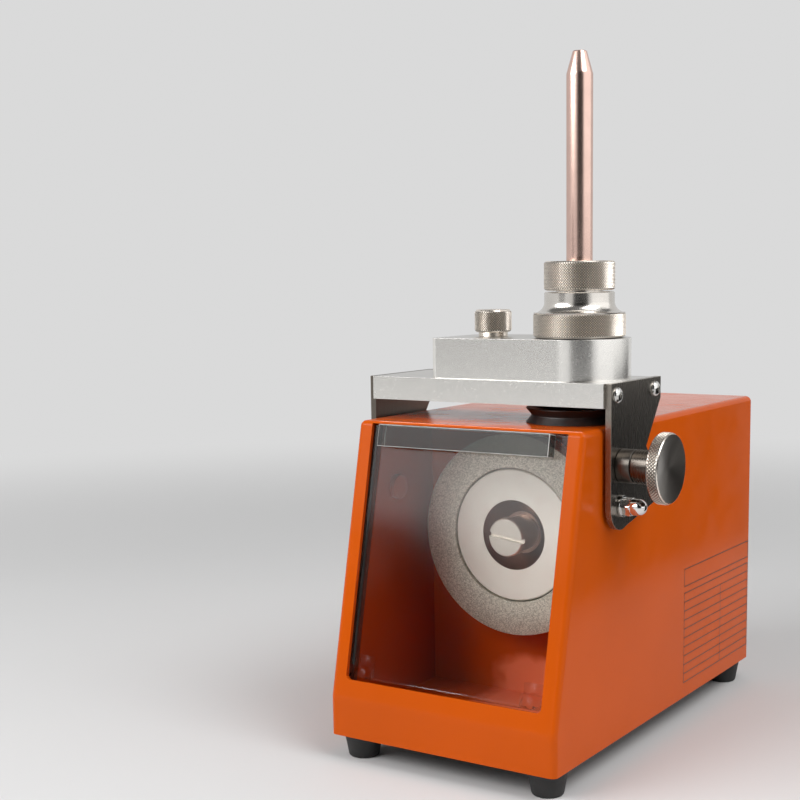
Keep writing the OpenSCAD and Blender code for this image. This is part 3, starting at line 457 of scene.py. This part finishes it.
def soften(points, radius, steps=3):
    """The profile with each of its corners rounded."""
    out = [points[0]]
    for a, b, c in zip(points, points[1:], points[2:]):
        p, q, r = Vector(a), Vector(b), Vector(c)
        u, v = p - q, r - q
        if u.length < TINY or v.length < TINY or u.angle(v) > BLUNT:
            out.append(b)
            continue
        cut = min(radius, u.length * 0.45, v.length * 0.45)
        start, end = q + u.normalized() * cut, q + v.normalized() * cut
        for s in range(steps + 1):
            t = s / steps
            spot = start.lerp(q, t).lerp(q.lerp(end, t), t)
            out.append((spot.x, spot.y))
    out.append(points[-1])
    return out


def hexagon(flats):
    """Radius of a hexagon at each angle."""
    def radius(a):
        return flats / 2 / math.cos((a + math.pi / 6) % (math.pi / 3) - math.pi / 6)
    return radius


def finish_mesh(name, bm, materials, body, slot, *nodes, angle=32):
    """The built shape becomes a piece, with edges sharper than the angle kept crisp."""
    bmesh.ops.recalc_face_normals(bm, faces=bm.faces)
    mesh = new_mesh(name, bm)
    mesh.set_sharp_from_angle(angle=math.radians(angle))
    settle(add_object(name, mesh, materials), body, slot, *nodes)


def middle(node):
    low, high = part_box(node)
    return (Vector(low) + Vector(high)) / 2


def low_high(node, axis):
    low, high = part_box(node)
    return low[axis], high[axis]


def half_width(node, axis=0):
    low, high = low_high(node, axis)
    return (high - low) / 2


def both_ends(node):
    """The way that the node's right and left end face along X, and where each is."""
    low, high = low_high(node, 0)
    return (1, high), (-1, low)


def dress(node, finish):
    """A CAD node whose shape is right keeps it and gets this finish."""
    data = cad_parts[node].data
    data.materials.clear()
    data.materials.append(finish.mat)


# Places taken from the frame

tube_at = middle("guide_tube")
chuck_axis = (tube_at.x, tube_at.y, 0.0)
wheel_at = middle("abrasive_ring")
knob_at = middle("lock_knob")
thumb_at = middle("thumb_screw")
pivot_at = middle("pivot_studs")
block_top = low_high("head_block", 2)[1]

# The finishes

orange = paint("orange_paint", ORANGE, 0.16, 0.10)
# Painted shade: the inside faces of the housing get the darkened orange
inside_shade_paint = paint("inside_shade_paint", INNER_SHADE, 0.2, 0.1)
black_paint = paint("black_powder", (0.02, 0.02, 0.021), 0.45, 0.35)
rubber = moulded("black_rubber", grey(0.014), 0.55)
seal_rubber = moulded("seal_rubber", grey(0.010), 0.42, 0.4, 0.1)
black_plastic = moulded("black_plastic", grey(0.018), 0.4, 0.5, 0.12)
# Dark red-brown like the shaded chamber wall seen behind it: painted shade
guide_plastic = moulded("guide_plastic", (0.085, 0.014, 0.006), 0.55, 0.5, 0.12)
red_plastic = moulded("red_plastic", (0.42, 0.012, 0.010), 0.22, 0.8, 0.05)
ink = moulded("print_ink", (0.10, 0.028, 0.012), 0.35, 0.5, 0.05)
nylon = moulded("nylon", (0.72, 0.70, 0.62), 0.45)
smoked = clear("smoked_acrylic", (0.985, 0.98, 0.97), 0.11, 0.04)
hinge_clear = clear("smoked_acrylic_corner", (0.95, 0.94, 0.93), 0.11, 0.008)
smoked_edge = moulded("smoked_acrylic_edge", (0.055, 0.05, 0.048), 0.35, 1.0, 0.05)
clear_bar = clear("clear_acrylic", (0.50, 0.52, 0.51), 0.14)
# Opaque pale grey for the grip's rounded edges: painted highlight along its edges
acrylic_edge = moulded("acrylic_edge", (0.50, 0.49, 0.47), 0.2, 1.0, 0.05)
aluminium = blasted("blasted_aluminium", (0.925, 0.905, 0.865), 0.25)
faced_aluminium = blasted("faced_aluminium", (0.68, 0.665, 0.64), 0.32)
bright_edge = blasted("bright_aluminium_edge", (0.80, 0.785, 0.755), 0.28, 0.6)
# Darker than bright stainless: partly the steel's own colour, partly painted shade standing for the
# dark reflections it shows
bracket_steel = brushed("bracket_steel", (0.31, 0.28, 0.245), 0.27, (1.0, 1.0, 0.03), 0.06)
# The same bracket steel made darker and more streaked for the left bracket, which is in shade:
# painted shade
left_bracket_shade = brushed("left_bracket_painted_shade", (0.16, 0.14, 0.12), 0.36, (1.0, 1.0, 0.03), 0.5)
zinc = brushed("zinc_plate", ZINC, 0.35, (1.0, 1.0, 0.2))
stainless = lathed("stainless_screw", (0.66, 0.65, 0.63), 0.13, pivot_at, X, 0.8, 0.2)
chrome = lathed("acorn_chrome", (0.80, 0.79, 0.78), 0.09, pivot_at, X, 1.5, 0.15)
black_steel = brushed("black_oxide", (0.045, 0.045, 0.047), 0.4, (1.0, 0.2, 1.0))
collar_steel = knurled("collar_knurl", STEEL, chuck_axis, Z, half_width("chuck_collar"))
nut_steel = knurled("nut_knurl", STEEL, chuck_axis, Z, half_width("chuck_nut"))
thumb_steel = knurled("thumb_knurl", STEEL, thumb_at, Z, half_width("thumb_screw"))
knob_steel = knurled("knob_knurl", scaled(STEEL, 0.82), knob_at, X, half_width("lock_knob", 2))
polished = lathed("polished_steel", (0.70, 0.665, 0.62), 0.22, chuck_axis, Z, 0.8, 0.1)
turned_steel = blasted("turned_steel", STEEL, 0.28, 0.8)
# Near-black copies of the knob's steel: painted shade on the sleeve and on the knob's neck and back,
# and on the sleeve a painted reflection of the knob's hub
sleeve_shade_steel = lathed("sleeve_shade_steel", (0.10, 0.09, 0.08), 0.30, knob_at, X, 0.5, 0.2)
neck_shade_steel = lathed("knob_neck_steel", (0.10, 0.088, 0.077), 0.26, knob_at, X, 0.5, 0.2)
knob_face = spun("knob_face", (0.37, 0.34, 0.308), 0.30, knob_at, X)
copper = lathed("polished_copper", (0.715, 0.50, 0.43), 0.26, chuck_axis, Z, 0.6, 0.05)
wheel_metal = lathed("wheel_plate", (0.99, 0.955, 0.89), 0.40, wheel_at, Y, 0.3, 0.1)
wheel_metal.set("Metallic", 0.4)
# Darker, browner copy of the hub's metal for its hollow: painted shade and a painted reflection of
# the orange chamber
recess_shade_metal = spun("wheel_recess", (0.30, 0.19, 0.155), 0.32, wheel_at, Y)
arbor_steel = lathed("arbor_steel", (0.69, 0.645, 0.59), 0.38, wheel_at, Y, 0.5, 0.15)
# Darker copy of the screw's steel for the walls of its slot: painted shade
slot_shade_steel = lathed("slot_shade_steel", (0.50, 0.47, 0.44), 0.45, wheel_at, Y, 0.5, 0.15)
motor_steel = lathed("motor_steel", (0.48, 0.48, 0.49), 0.35, wheel_at, Y)
motor_cast = blasted("motor_cast", (0.40, 0.40, 0.41), 0.5)
rotor_iron = blasted("rotor_iron", (0.28, 0.25, 0.22), 0.55)
bronze = lathed("bush_bronze", (0.62, 0.42, 0.20), 0.3, chuck_axis, Z)
brass = brushed("contact_brass", (0.70, 0.62, 0.42), 0.3, (1.0, 0.1, 1.0))
abrasive = grit("diamond_grit")
chamber_lit_paint = lit_patch_paint("chamber_lit_paint")
# Painted shade on the studs' heads inside the case
stud_zinc = half_painted_zinc("painted_stud", 59.2 * MM)


# The case

def faces_inward(face):
    """Whether a face of the housing looks into the machine: the inside of its sides and top."""
    straight, upper_half = 0.9, 100 * MM
    at = face.calc_center_median()
    of_side = face.normal.x * at.x < -straight * abs(at.x)
    return of_side or (face.normal.z < -straight and at.z > upper_half)


# The housing's inside faces take the darkened orange, painted shade inside the case
refine("housing", "case", "orange_paint", orange, 0.6, 3, other=inside_shade_paint, where=faces_inward)
# The chamber wall carries a painted pool of light, low down on the right
refine("chamber_wall", "case", "orange_paint", chamber_lit_paint)
refine("base_plate", "case", "base_paint", black_paint)
# The window guides take the dark red-brown: painted shade
refine("window_frame", "case", "guide_plastic", guide_plastic)
refine("switch_bezel", "case", "switch_black", black_plastic, 0.35)
refine("power_inlet", "case", "switch_black", black_plastic, 0.4)
refine("switch_rocker", "rocker", "rocker_red", red_plastic, 0.4, 3)


def make_feet():
    """Four tapered feet, each with a pocket for the head of its screw."""
    low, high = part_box("rubber_feet")
    tall, rim, pocket = high[2], 1.2 * MM, 6 * MM
    top_r, tip_r, pocket_r, bore_r = 9.25 * MM, 7.25 * MM, 4.2 * MM, 2 * MM
    profile = [(pocket_r, pocket), (pocket_r, 0), (tip_r, 0), (top_r, tall - rim),
               (top_r, tall), (bore_r, tall)]
    bm = bmesh.new()
    for x in (low[0] + top_r, high[0] - top_r):
        for y in (low[1] + top_r, high[1] - top_r):
            revolve(bm, soften(profile, 1.1 * MM, 5), placement((x, y, 0), Z), count=64)
    finish_mesh("feet_piece", bm, [rubber], "case", "foot_rubber", "rubber_feet")


def make_seal():
    """A rubber ring with a waist."""
    low, high = low_high("dust_seal", 2)
    at, tall = middle("dust_seal"), high - low
    lip, wall = half_width("dust_seal"), 2.6 * MM
    waist = lip - 3 * MM
    seam = (lip - wall / 2, 0)
    outer = [(lip, 0), (waist, tall / 2), (lip, tall)]
    inner = [(r - wall, height) for r, height in reversed(outer)]
    bm = bmesh.new()
    profile = soften([seam] + outer + inner + [seam], 0.6 * MM)
    revolve(bm, profile, placement((at.x, at.y, low), Z), count=128)
    finish_mesh("seal_piece", bm, [seal_rubber], "case", "seal_rubber", "dust_seal")


def make_table():
    """A blank ruled table printed on the right side, with an empty box above it."""
    side = low_high("housing", 0)[1]
    left, right = 23.5 * MM, 112.5 * MM
    low, high, rows = 20 * MM, 67 * MM, 10
    box_low, box_high = 70.5 * MM, 79.5 * MM
    line, thick = 0.56 * MM, 0.04 * MM
    row = (high - low) / rows
    divide = left + 0.55 * (right - left)
    levels = [low + row * i for i in range(rows + 1)] + [box_low, box_high]
    strips = [(left, right, z, z) for z in levels]
    strips += [(y, y, low, high) for y in (left, right)]
    strips += [(divide, divide, low, high - row)]
    strips += [(y, y, box_low, box_high) for y in (left, right)]
    bm = bmesh.new()
    for y0, y1, z0, z1 in strips:
        for v in bmesh.ops.create_cube(bm, size=1.0)["verts"]:
            v.co = (side + v.co.x * thick,
                    (y0 + y1) / 2 + v.co.y * (y1 - y0 + line),
                    (z0 + z1) / 2 + v.co.z * (z1 - z0 + line))
    finish_mesh("side_table_print", bm, [ink], "case", "orange_paint")


make_feet()
make_seal()
make_table()


# The wheel

def make_wheel():
    """A plated hub with a hollow in its face, and the abrasive ring around it."""
    face, back = low_high("abrasive_ring", 1)
    front, rear = low_high("wheel_hub", 1)
    rim_r, ring_width, step = half_width("abrasive_ring", 2), 17.3 * MM, 1 * MM
    groove, chamfer = 0.6 * MM, 0.6 * MM
    edge, lip, play = 0.5 * MM, 0.15 * MM, 0.02 * MM
    bore_r, floor_r, hollow_r = 5.1 * MM, 10.5 * MM, 17.3 * MM
    hub_r, back_r = rim_r - ring_width, rim_r - step
    ring_r, side_r = hub_r + groove, hub_r - 0.05 * MM
    where = placement((wheel_at.x, 0, wheel_at.z), Y)
    hollow = [(bore_r, back + step), (floor_r, back + step), (hollow_r, front + lip)]
    profile = [(hollow_r, front + lip), (hollow_r + lip, front), (hub_r - chamfer, front),
               (side_r, front + edge), (side_r, back), (back_r, back + play),
               (back_r, rear - step), (back_r - step, rear), (bore_r, rear)]
    bm = bmesh.new()
    # The hollow takes the darker finish: painted shade in the recess
    revolve(bm, hollow, where, count=192, material=1)
    revolve(bm, profile, where, count=192)
    finishes = [wheel_metal, recess_shade_metal]
    finish_mesh("hub_piece", bm, finishes, "wheel", "wheel_plate", "wheel_hub", angle=25)
    ring = [(ring_r, back), (ring_r, face), (rim_r, face), (rim_r, back), (ring_r, back)]
    bm = bmesh.new()
    revolve(bm, soften(ring, edge), where, count=192)
    finish_mesh("ring_piece", bm, [abrasive], "wheel", "abrasive", "abrasive_ring")


def in_slot(face):
    """Whether a face of the wheel's screw is a wall of its slot."""
    front, slot_depth = low_high("arbor_screw", 1)[0], 3 * MM
    return abs(face.normal.z) > 0.99 and face.calc_center_median().y < front + slot_depth


make_wheel()
# The slot's walls take the darker steel: painted shade in the slot
refine("arbor_screw", "wheel", "arbor_steel", arbor_steel, 0.2, other=slot_shade_steel, where=in_slot)


# The window

def on_pane_side(face):
    """Whether a face of the pane is its left or right edge."""
    return abs(face.calc_center_median().x) > half_width("window_pane") - 0.1 * MM


refine("window_pane", "window", "smoked_pane", smoked, 0, other=smoked_edge, where=on_pane_side)
# The grip's rounded edges take the opaque pale grey: painted highlight
refine("window_grip", "window", "clear_grip", clear_bar, bright=acrylic_edge)
refine("hinge_tabs", "window", "smoked_pane", hinge_clear, 0)


# The head

def faces_up(face):
    return face.normal.z > 0.9


for node, edge in (("head_plate", 0.7), ("head_block", 0.9)):
    refine(node, "head", "head_aluminium", aluminium, edge, bright=bright_edge,
           other=faced_aluminium, where=faces_up)
# The left bracket takes the darkened steel: painted shade
refine("left_bracket", "head", "bracket_steel", left_bracket_shade, 0.35)
refine("right_bracket", "head", "bracket_steel", bracket_steel, 0.35)


def make_dome_screws():
    """Button heads with a hexagon socket, two on each side."""
    low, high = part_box("bracket_screws")
    head_r, head, edge = 3.6 * MM, 2.2 * MM, 0.35 * MM
    shank_r, shank = 2 * MM, 10 * MM
    socket, socket_floor, socket_tip = hexagon(2.5 * MM), 0.6 * MM, 0.5 * MM
    dome = [(head_r * math.cos(a), edge + (head - edge) * math.sin(a)) for a in angles(0, 61, 12)]
    rows = [(shank_r, -shank), (shank_r, 0), (head_r, 0)] + dome
    rows += [(socket, dome[-1][1]), (socket, socket_floor), (0, socket_tip)]
    bm = bmesh.new()
    for side, outer in both_ends("bracket_screws"):
        for y in (low[1] + head_r, high[1] - head_r):
            seat = (outer - side * head, y, (low[2] + high[2]) / 2)
            revolve(bm, rows, placement(seat, (side, 0, 0)), count=48)
    finish_mesh("dome_screw_piece", bm, [stainless], "head", "dome_screws", "bracket_screws")


def make_acorn_nuts():
    """Domed hexagon nuts at both ends of the tilt axis."""
    flats = 2 * half_width("acorn_nuts", 1)
    tall, bore_r, dome_r = 11 * MM, 2.6 * MM, flats / 2 - 0.2 * MM
    hex_low, hex_high, shoulder, dome_foot = 0.5 * MM, 3.9 * MM, 4.3 * MM, 4.4 * MM
    dome_low = tall - dome_r
    full = hexagon(flats)

    def blunted(a):
        return min(full(a), flats * 0.53)

    rows = [(bore_r, 0), (blunted, 0), (full, hex_low), (full, hex_high), (blunted, shoulder),
            (dome_r, dome_foot), (dome_r, dome_low)]
    rows += [(dome_r * math.cos(a), dome_low + dome_r * math.sin(a)) for a in angles(9, 90, 9)]
    rows += [(0, tall)]
    bm = bmesh.new()
    for side, outer in both_ends("acorn_nuts"):
        seat = (outer - side * tall, pivot_at.y, pivot_at.z)
        revolve(bm, rows, placement(seat, (side, 0, 0)), count=72)
    finish_mesh("acorn_piece", bm, [chrome], "case", "acorn_chrome", "acorn_nuts")


def make_washers():
    bore_r, rim_r, thick = 2.6 * MM, 5 * MM, 1.2 * MM
    rows = [(bore_r, 0), (rim_r, 0), (rim_r, thick), (bore_r, thick), (bore_r, 0)]
    bm = bmesh.new()
    for side, outer in both_ends("pivot_washers"):
        seat = (outer - side * thick, pivot_at.y, pivot_at.z)
        revolve(bm, soften(rows, 0.25 * MM), placement(seat, (side, 0, 0)), count=64)
    finish_mesh("washer_piece", bm, [stainless], "case", "dome_screws", "pivot_washers")


make_dome_screws()
make_acorn_nuts()
make_washers()


# The lock

LOCK_BORE = 3.1 * MM
LOCK_NECK = 7.8 * MM


def make_knob():
    """A neck and a back in painted shade, a knurled rim and a dished face."""
    near, far = low_high("lock_knob", 0)
    tall, band = far - near, 0.5 * MM
    disc = tall - 5.8 * MM
    rim_r = half_width("lock_knob", 2)
    shy, lip, dish_r, dish_floor_r = rim_r - GROOVE, rim_r - 1.0 * MM, rim_r - 1.5 * MM, 3 * MM
    dish_edge, dish_low, dish_middle = tall - 0.12 * MM, tall - 1.35 * MM, tall - 1.4 * MM
    where = placement((near, knob_at.y, knob_at.z), X)
    back = [(LOCK_BORE, 0), (LOCK_NECK, 0), (LOCK_NECK, disc), (lip, disc), (shy, disc + band)]
    rim = [(shy, tall - band), (rim_r - 0.8 * MM, tall), (lip, tall)]
    face = [(lip, tall), (dish_r, dish_edge), (dish_floor_r, dish_low), (0, dish_middle)]
    bm = bmesh.new()
    # The neck and back take the near-black steel: painted shade
    revolve(bm, soften(back, 0.4 * MM), where, count=128, material=2)
    knurl(bm, rim_r, disc + band, tall - band, COARSE, where)
    revolve(bm, rim, where, count=128, material=3)
    revolve(bm, face, where, count=128, material=1)
    finishes = [knob_steel, knob_face, neck_shade_steel, turned_steel]
    finish_mesh("knob_piece", bm, finishes, "lock_knob", "knurled_steel", "lock_knob", angle=28)


def make_sleeve():
    near, far = low_high("lock_sleeve", 0)
    tall = far - near
    rows = [(LOCK_BORE, 0), (LOCK_NECK, 0), (LOCK_NECK, tall), (LOCK_BORE, tall), (LOCK_BORE, 0)]
    bm = bmesh.new()
    revolve(bm, soften(rows, 0.5 * MM), placement((near, knob_at.y, knob_at.z), X))
    # The sleeve takes the near-black steel: painted shade
    finish_mesh("sleeve_piece", bm, [sleeve_shade_steel], "case", "knurled_steel", "lock_sleeve")


make_knob()
make_sleeve()


# The chuck and the thumb screw

def make_collar():
    """A spindle, a knurled grip and a polished hollow neck with a thread above it."""
    low, high = low_high("chuck_collar", 2)
    grip_r, grip_low = half_width("chuck_collar"), block_top + 0.3 * MM
    grip_high, neck_high = grip_low + 11.4 * MM, grip_low + 21.0 * MM
    spindle_r, neck_r, thread_r = 12 * MM, 16.3 * MM, 11 * MM
    bore_r, mouth_r, edge = 2.4 * MM, 9 * MM, 0.5 * MM
    knurl_low, knurl_high = grip_low + 0.6 * MM, grip_high - edge
    hollow = grip_r - neck_r - 0.2 * MM
    shy = grip_r - GROOVE
    where = placement(chuck_axis, Z)
    under = [(bore_r, low), (spindle_r, low), (spindle_r, grip_low), (grip_r - 1 * MM, grip_low),
             (shy, knurl_low)]
    rim = [(shy, knurl_high), (grip_r - 0.25 * MM, grip_high - 0.15 * MM)]
    curve = [(neck_r + hollow * (1 - math.sin(a)), grip_high + hollow * (1 - math.cos(a)))
             for a in angles(0, 91, 5)]
    top = [(neck_r, neck_high - edge), (neck_r - edge, neck_high), (thread_r, neck_high),
           (thread_r, high), (mouth_r, high)]
    bm = bmesh.new()
    revolve(bm, soften(under, 0.3 * MM), where, count=128, material=1)
    knurl(bm, grip_r, knurl_low, knurl_high, FINE, where)
    revolve(bm, rim + curve + top, where, count=160, material=1)
    finishes = [collar_steel, polished]
    finish_mesh("collar_piece", bm, finishes, "holder", "knurled_steel", "chuck_collar")


def make_nut():
    """A knurled ring, open below for the collar's thread and above for the tube."""
    low, high = low_high("chuck_nut", 2)
    grip_r, edge = half_width("chuck_nut"), 0.5 * MM
    thread_r, thread, mouth_r, mouth = 11.1 * MM, 8 * MM, 6.4 * MM, 3 * MM
    shy, flat_r = grip_r - GROOVE, grip_r - 0.9 * MM
    where = placement(chuck_axis, Z)
    under = [(thread_r, low + thread), (thread_r, low), (flat_r, low), (shy, low + edge)]
    over = [(shy, high - edge), (flat_r, high), (mouth_r + 1 * MM, high),
            (mouth_r, high - 0.8 * MM), (mouth_r, high - mouth)]
    bm = bmesh.new()
    revolve(bm, soften(under, 0.2 * MM), where, count=128, material=1)
    knurl(bm, grip_r, low + edge, high - edge, FINE, where)
    revolve(bm, soften(over, 0.25 * MM), where, count=128, material=1)
    finishes = [nut_steel, turned_steel]
    finish_mesh("nut_piece", bm, finishes, "chuck_nut", "knurled_steel", "chuck_nut")


def make_tube():
    """A copper tube with a tapered tip."""
    low, high = low_high("guide_tube", 2)
    tube_r, tip_r, tip, bore_r = half_width("guide_tube"), 3.2 * MM, 10.2 * MM, 2.1 * MM
    profile = [(bore_r, low), (tube_r, low), (tube_r, high - tip), (tip_r, high), (bore_r, high),
               (bore_r, low)]
    bm = bmesh.new()
    revolve(bm, soften(profile, 0.7 * MM, 5), placement(chuck_axis, Z), count=128)
    finish_mesh("tube_piece", bm, [copper], "holder", "copper", "guide_tube")


def make_thumb_screw():
    """A threaded stem, a shoulder on the block and a knurled head with a shallow dish."""
    low, high = low_high("thumb_screw", 2)
    grip_r, stem_r, shoulder_r = half_width("thumb_screw"), 3 * MM, 7 * MM
    seat, grip_low = block_top + 0.1 * MM, block_top + 2.2 * MM
    knurl_low, knurl_high = grip_low + 0.6 * MM, high - 0.9 * MM
    dish, dish_r, dish_floor_r = high - 0.4 * MM, 3.2 * MM, 2.4 * MM
    shy = grip_r - GROOVE
    where = placement((thumb_at.x, thumb_at.y, 0), Z)
    neck = [(stem_r, low), (stem_r, seat), (shoulder_r, seat), (shoulder_r, grip_low),
            (grip_r - 0.9 * MM, grip_low), (shy, knurl_low)]
    cap = [(shy, knurl_high), (grip_r - 1.0 * MM, high), (dish_r, high), (dish_floor_r, dish),
           (0, dish)]
    bm = bmesh.new()
    revolve(bm, soften(neck, 0.3 * MM), where, count=96, material=1)
    knurl(bm, grip_r, knurl_low, knurl_high, FINE, where)
    revolve(bm, soften(cap, 0.35 * MM), where, count=96, material=1)
    finishes = [thumb_steel, turned_steel]
    finish_mesh("thumb_piece", bm, finishes, "thumb_screw", "knurled_steel", "thumb_screw")


make_collar()
make_nut()
make_tube()
make_thumb_screw()

# Nodes that keep their CAD shape

for finish, nodes in (
    (zinc, ("base_screws", "foot_screws", "lock_stud")),
    (stud_zinc, ("pivot_studs",)),
    (nylon, ("pivot_spacers",)),
    (motor_steel, ("motor_can", "front_bearing", "rear_bearing", "motor_shaft", "collet")),
    (motor_cast, ("motor_end_cap",)),
    (rotor_iron, ("motor_rotor",)),
    (black_steel, ("motor_screws", "block_screws", "retaining_ring")),
    (bronze, ("spindle_bush",)),
    (brass, ("inlet_pins",)),
):
    for node in nodes:
        dress(node, finish)


# The studio

def make_backdrop():
    """A round pale sweep: a floor that takes shadows, and one even grey further off."""
    floor_r, bend, tall = 2.0, 0.8, 2.4
    near, far = 0.35, 1.3
    line = [(0.0, 0.0), (0.6, 0.0), (1.2, 0.0), (floor_r, 0.0)]
    line += [(floor_r + bend * math.sin(a), bend - bend * math.cos(a)) for a in angles(9, 91, 9)]
    line += [(floor_r + bend, tall)]
    bm = bmesh.new()
    revolve(bm, line, Matrix())
    f = Finish("backdrop", grey(0.69), 0.0, 0.8, specular_ior_level=0.2)
    f.tint(f.noise(400, 2), grey(0.68), grey(0.70))
    reach = f.node("ShaderNodeVectorMath", operation="LENGTH")
    f.link(f.place(), reach.inputs[0])
    distant = f.span(reach.outputs["Value"], (near, far), interpolation_type="SMOOTHSTEP")
    path = f.node("ShaderNodeLightPath")
    seen = path.outputs["Is Camera Ray"]
    for kind in ("Is Glossy Ray", "Is Transmission Ray"):
        seen = f.compute("MAXIMUM", seen, path.outputs[kind])
    even = f.node("ShaderNodeEmission")
    even.inputs["Strength"].default_value = PALE
    share = f.compute("MULTIPLY", distant, seen)
    f.mix(share, f.shader.outputs["BSDF"], even.outputs["Emission"])
    add_object("backdrop", new_mesh("backdrop", bm), [f])


def make_world():
    """A plain room light all round."""
    world = bpy.data.worlds.new("studio")
    bpy.context.scene.world = world
    world.use_nodes = True
    shade = world.node_tree.nodes["Background"]
    shade.inputs["Color"].default_value = (1, 1, 1, 1)
    shade.inputs["Strength"].default_value = ROOM


def make_camera():
    """The photograph's view: eye, direction and roll fitted to the machine's edges."""
    eye = Vector((0.3385, -0.6335, 0.2306))
    yaw, pitch, roll = (math.radians(d) for d in (33.34, 7.98, -0.78))
    focal_px, frame_px, sensor_mm = 1403.58, 800, 36.0
    centre_px = (429.87, 470.44)
    level = math.cos(pitch)
    back = Vector((math.sin(yaw) * level, -math.cos(yaw) * level, math.sin(pitch)))
    right = Vector((math.cos(yaw), math.sin(yaw), 0))
    up = back.cross(right)
    across = right * math.cos(roll) + up * math.sin(roll)
    above = up * math.cos(roll) - right * math.sin(roll)
    cam = bpy.data.cameras.new("camera")
    cam.sensor_fit = "HORIZONTAL"
    cam.sensor_width = sensor_mm
    cam.lens = sensor_mm * focal_px / frame_px
    cam.shift_x = (frame_px / 2 - centre_px[0]) / frame_px
    cam.shift_y = (centre_px[1] - frame_px / 2) / frame_px
    obj = bpy.data.objects.new("camera", cam)
    bpy.context.scene.collection.objects.link(obj)
    turn = Matrix((across, above, back)).transposed()
    obj.matrix_world = Matrix.Translation(eye) @ turn.to_4x4()
    bpy.context.scene.camera = obj


def make_card(name, place, target, width, tall):
    """A black card outside the picture that metal and gloss mirror."""
    bm = bmesh.new()
    signs = ((-1, -1), (1, -1), (1, 1), (-1, 1))
    bm.faces.new([bm.verts.new((x * width / 2, y * tall / 2, 0)) for x, y in signs])
    f = Finish("card_black", grey(0.012), 0.0, 0.9, specular_ior_level=0.1)
    f.tint(f.noise(200, 2), grey(0.010), grey(0.014))
    obj = add_object(name, new_mesh(name, bm), [f])
    obj.matrix_world = aimed(place, target)
    obj.visible_camera = False
    obj.visible_shadow = False
    obj.visible_diffuse = False


def make_lamp(name, place, target, size, watts):
    lamp = bpy.data.lights.new(name, "AREA")
    lamp.shape = "RECTANGLE"
    lamp.size, lamp.size_y = size
    lamp.energy = watts
    obj = bpy.data.objects.new(name, lamp)
    bpy.context.scene.collection.objects.link(obj)
    obj.matrix_world = aimed(place, target)


make_backdrop()
make_world()
make_camera()
make_card("flag_behind_camera", (0.80, -1.30, 0.60), (0.03, -0.04, 0.25), width=1.40, tall=1.6)
make_card("flag_right", (0.22, 0.28, 0.085), (0.0, 0.28, 0.085), width=0.56, tall=0.17)
make_card("flag_front", (-0.69, -1.25, 0.225), (0.0, -0.1, 0.10), width=0.56, tall=0.24)
make_lamp("key", (-0.55, -0.95, 0.77), (0, -0.05, 0.10), size=(0.9, 0.55), watts=11.2)
make_lamp("window", (-0.60, -1.08, 0.41), (0, -0.10, 0.12), size=(0.55, 0.18), watts=0.36)
make_lamp("side", (1.35, 0.25, 0.86), (0.03, 0, 0.12), size=(2.4, 1.6), watts=8.8)
make_lamp("fill", (0.95, -0.25, 1.45), (0.06, 0, 0.09), size=(0.9, 0.9), watts=13)
make_lamp("top", (0.05, 0.25, 1.35), (0, 0, 0.1), size=(0.9, 0.7), watts=2.0)
bpy.context.scene.view_settings.view_transform = "Standard"
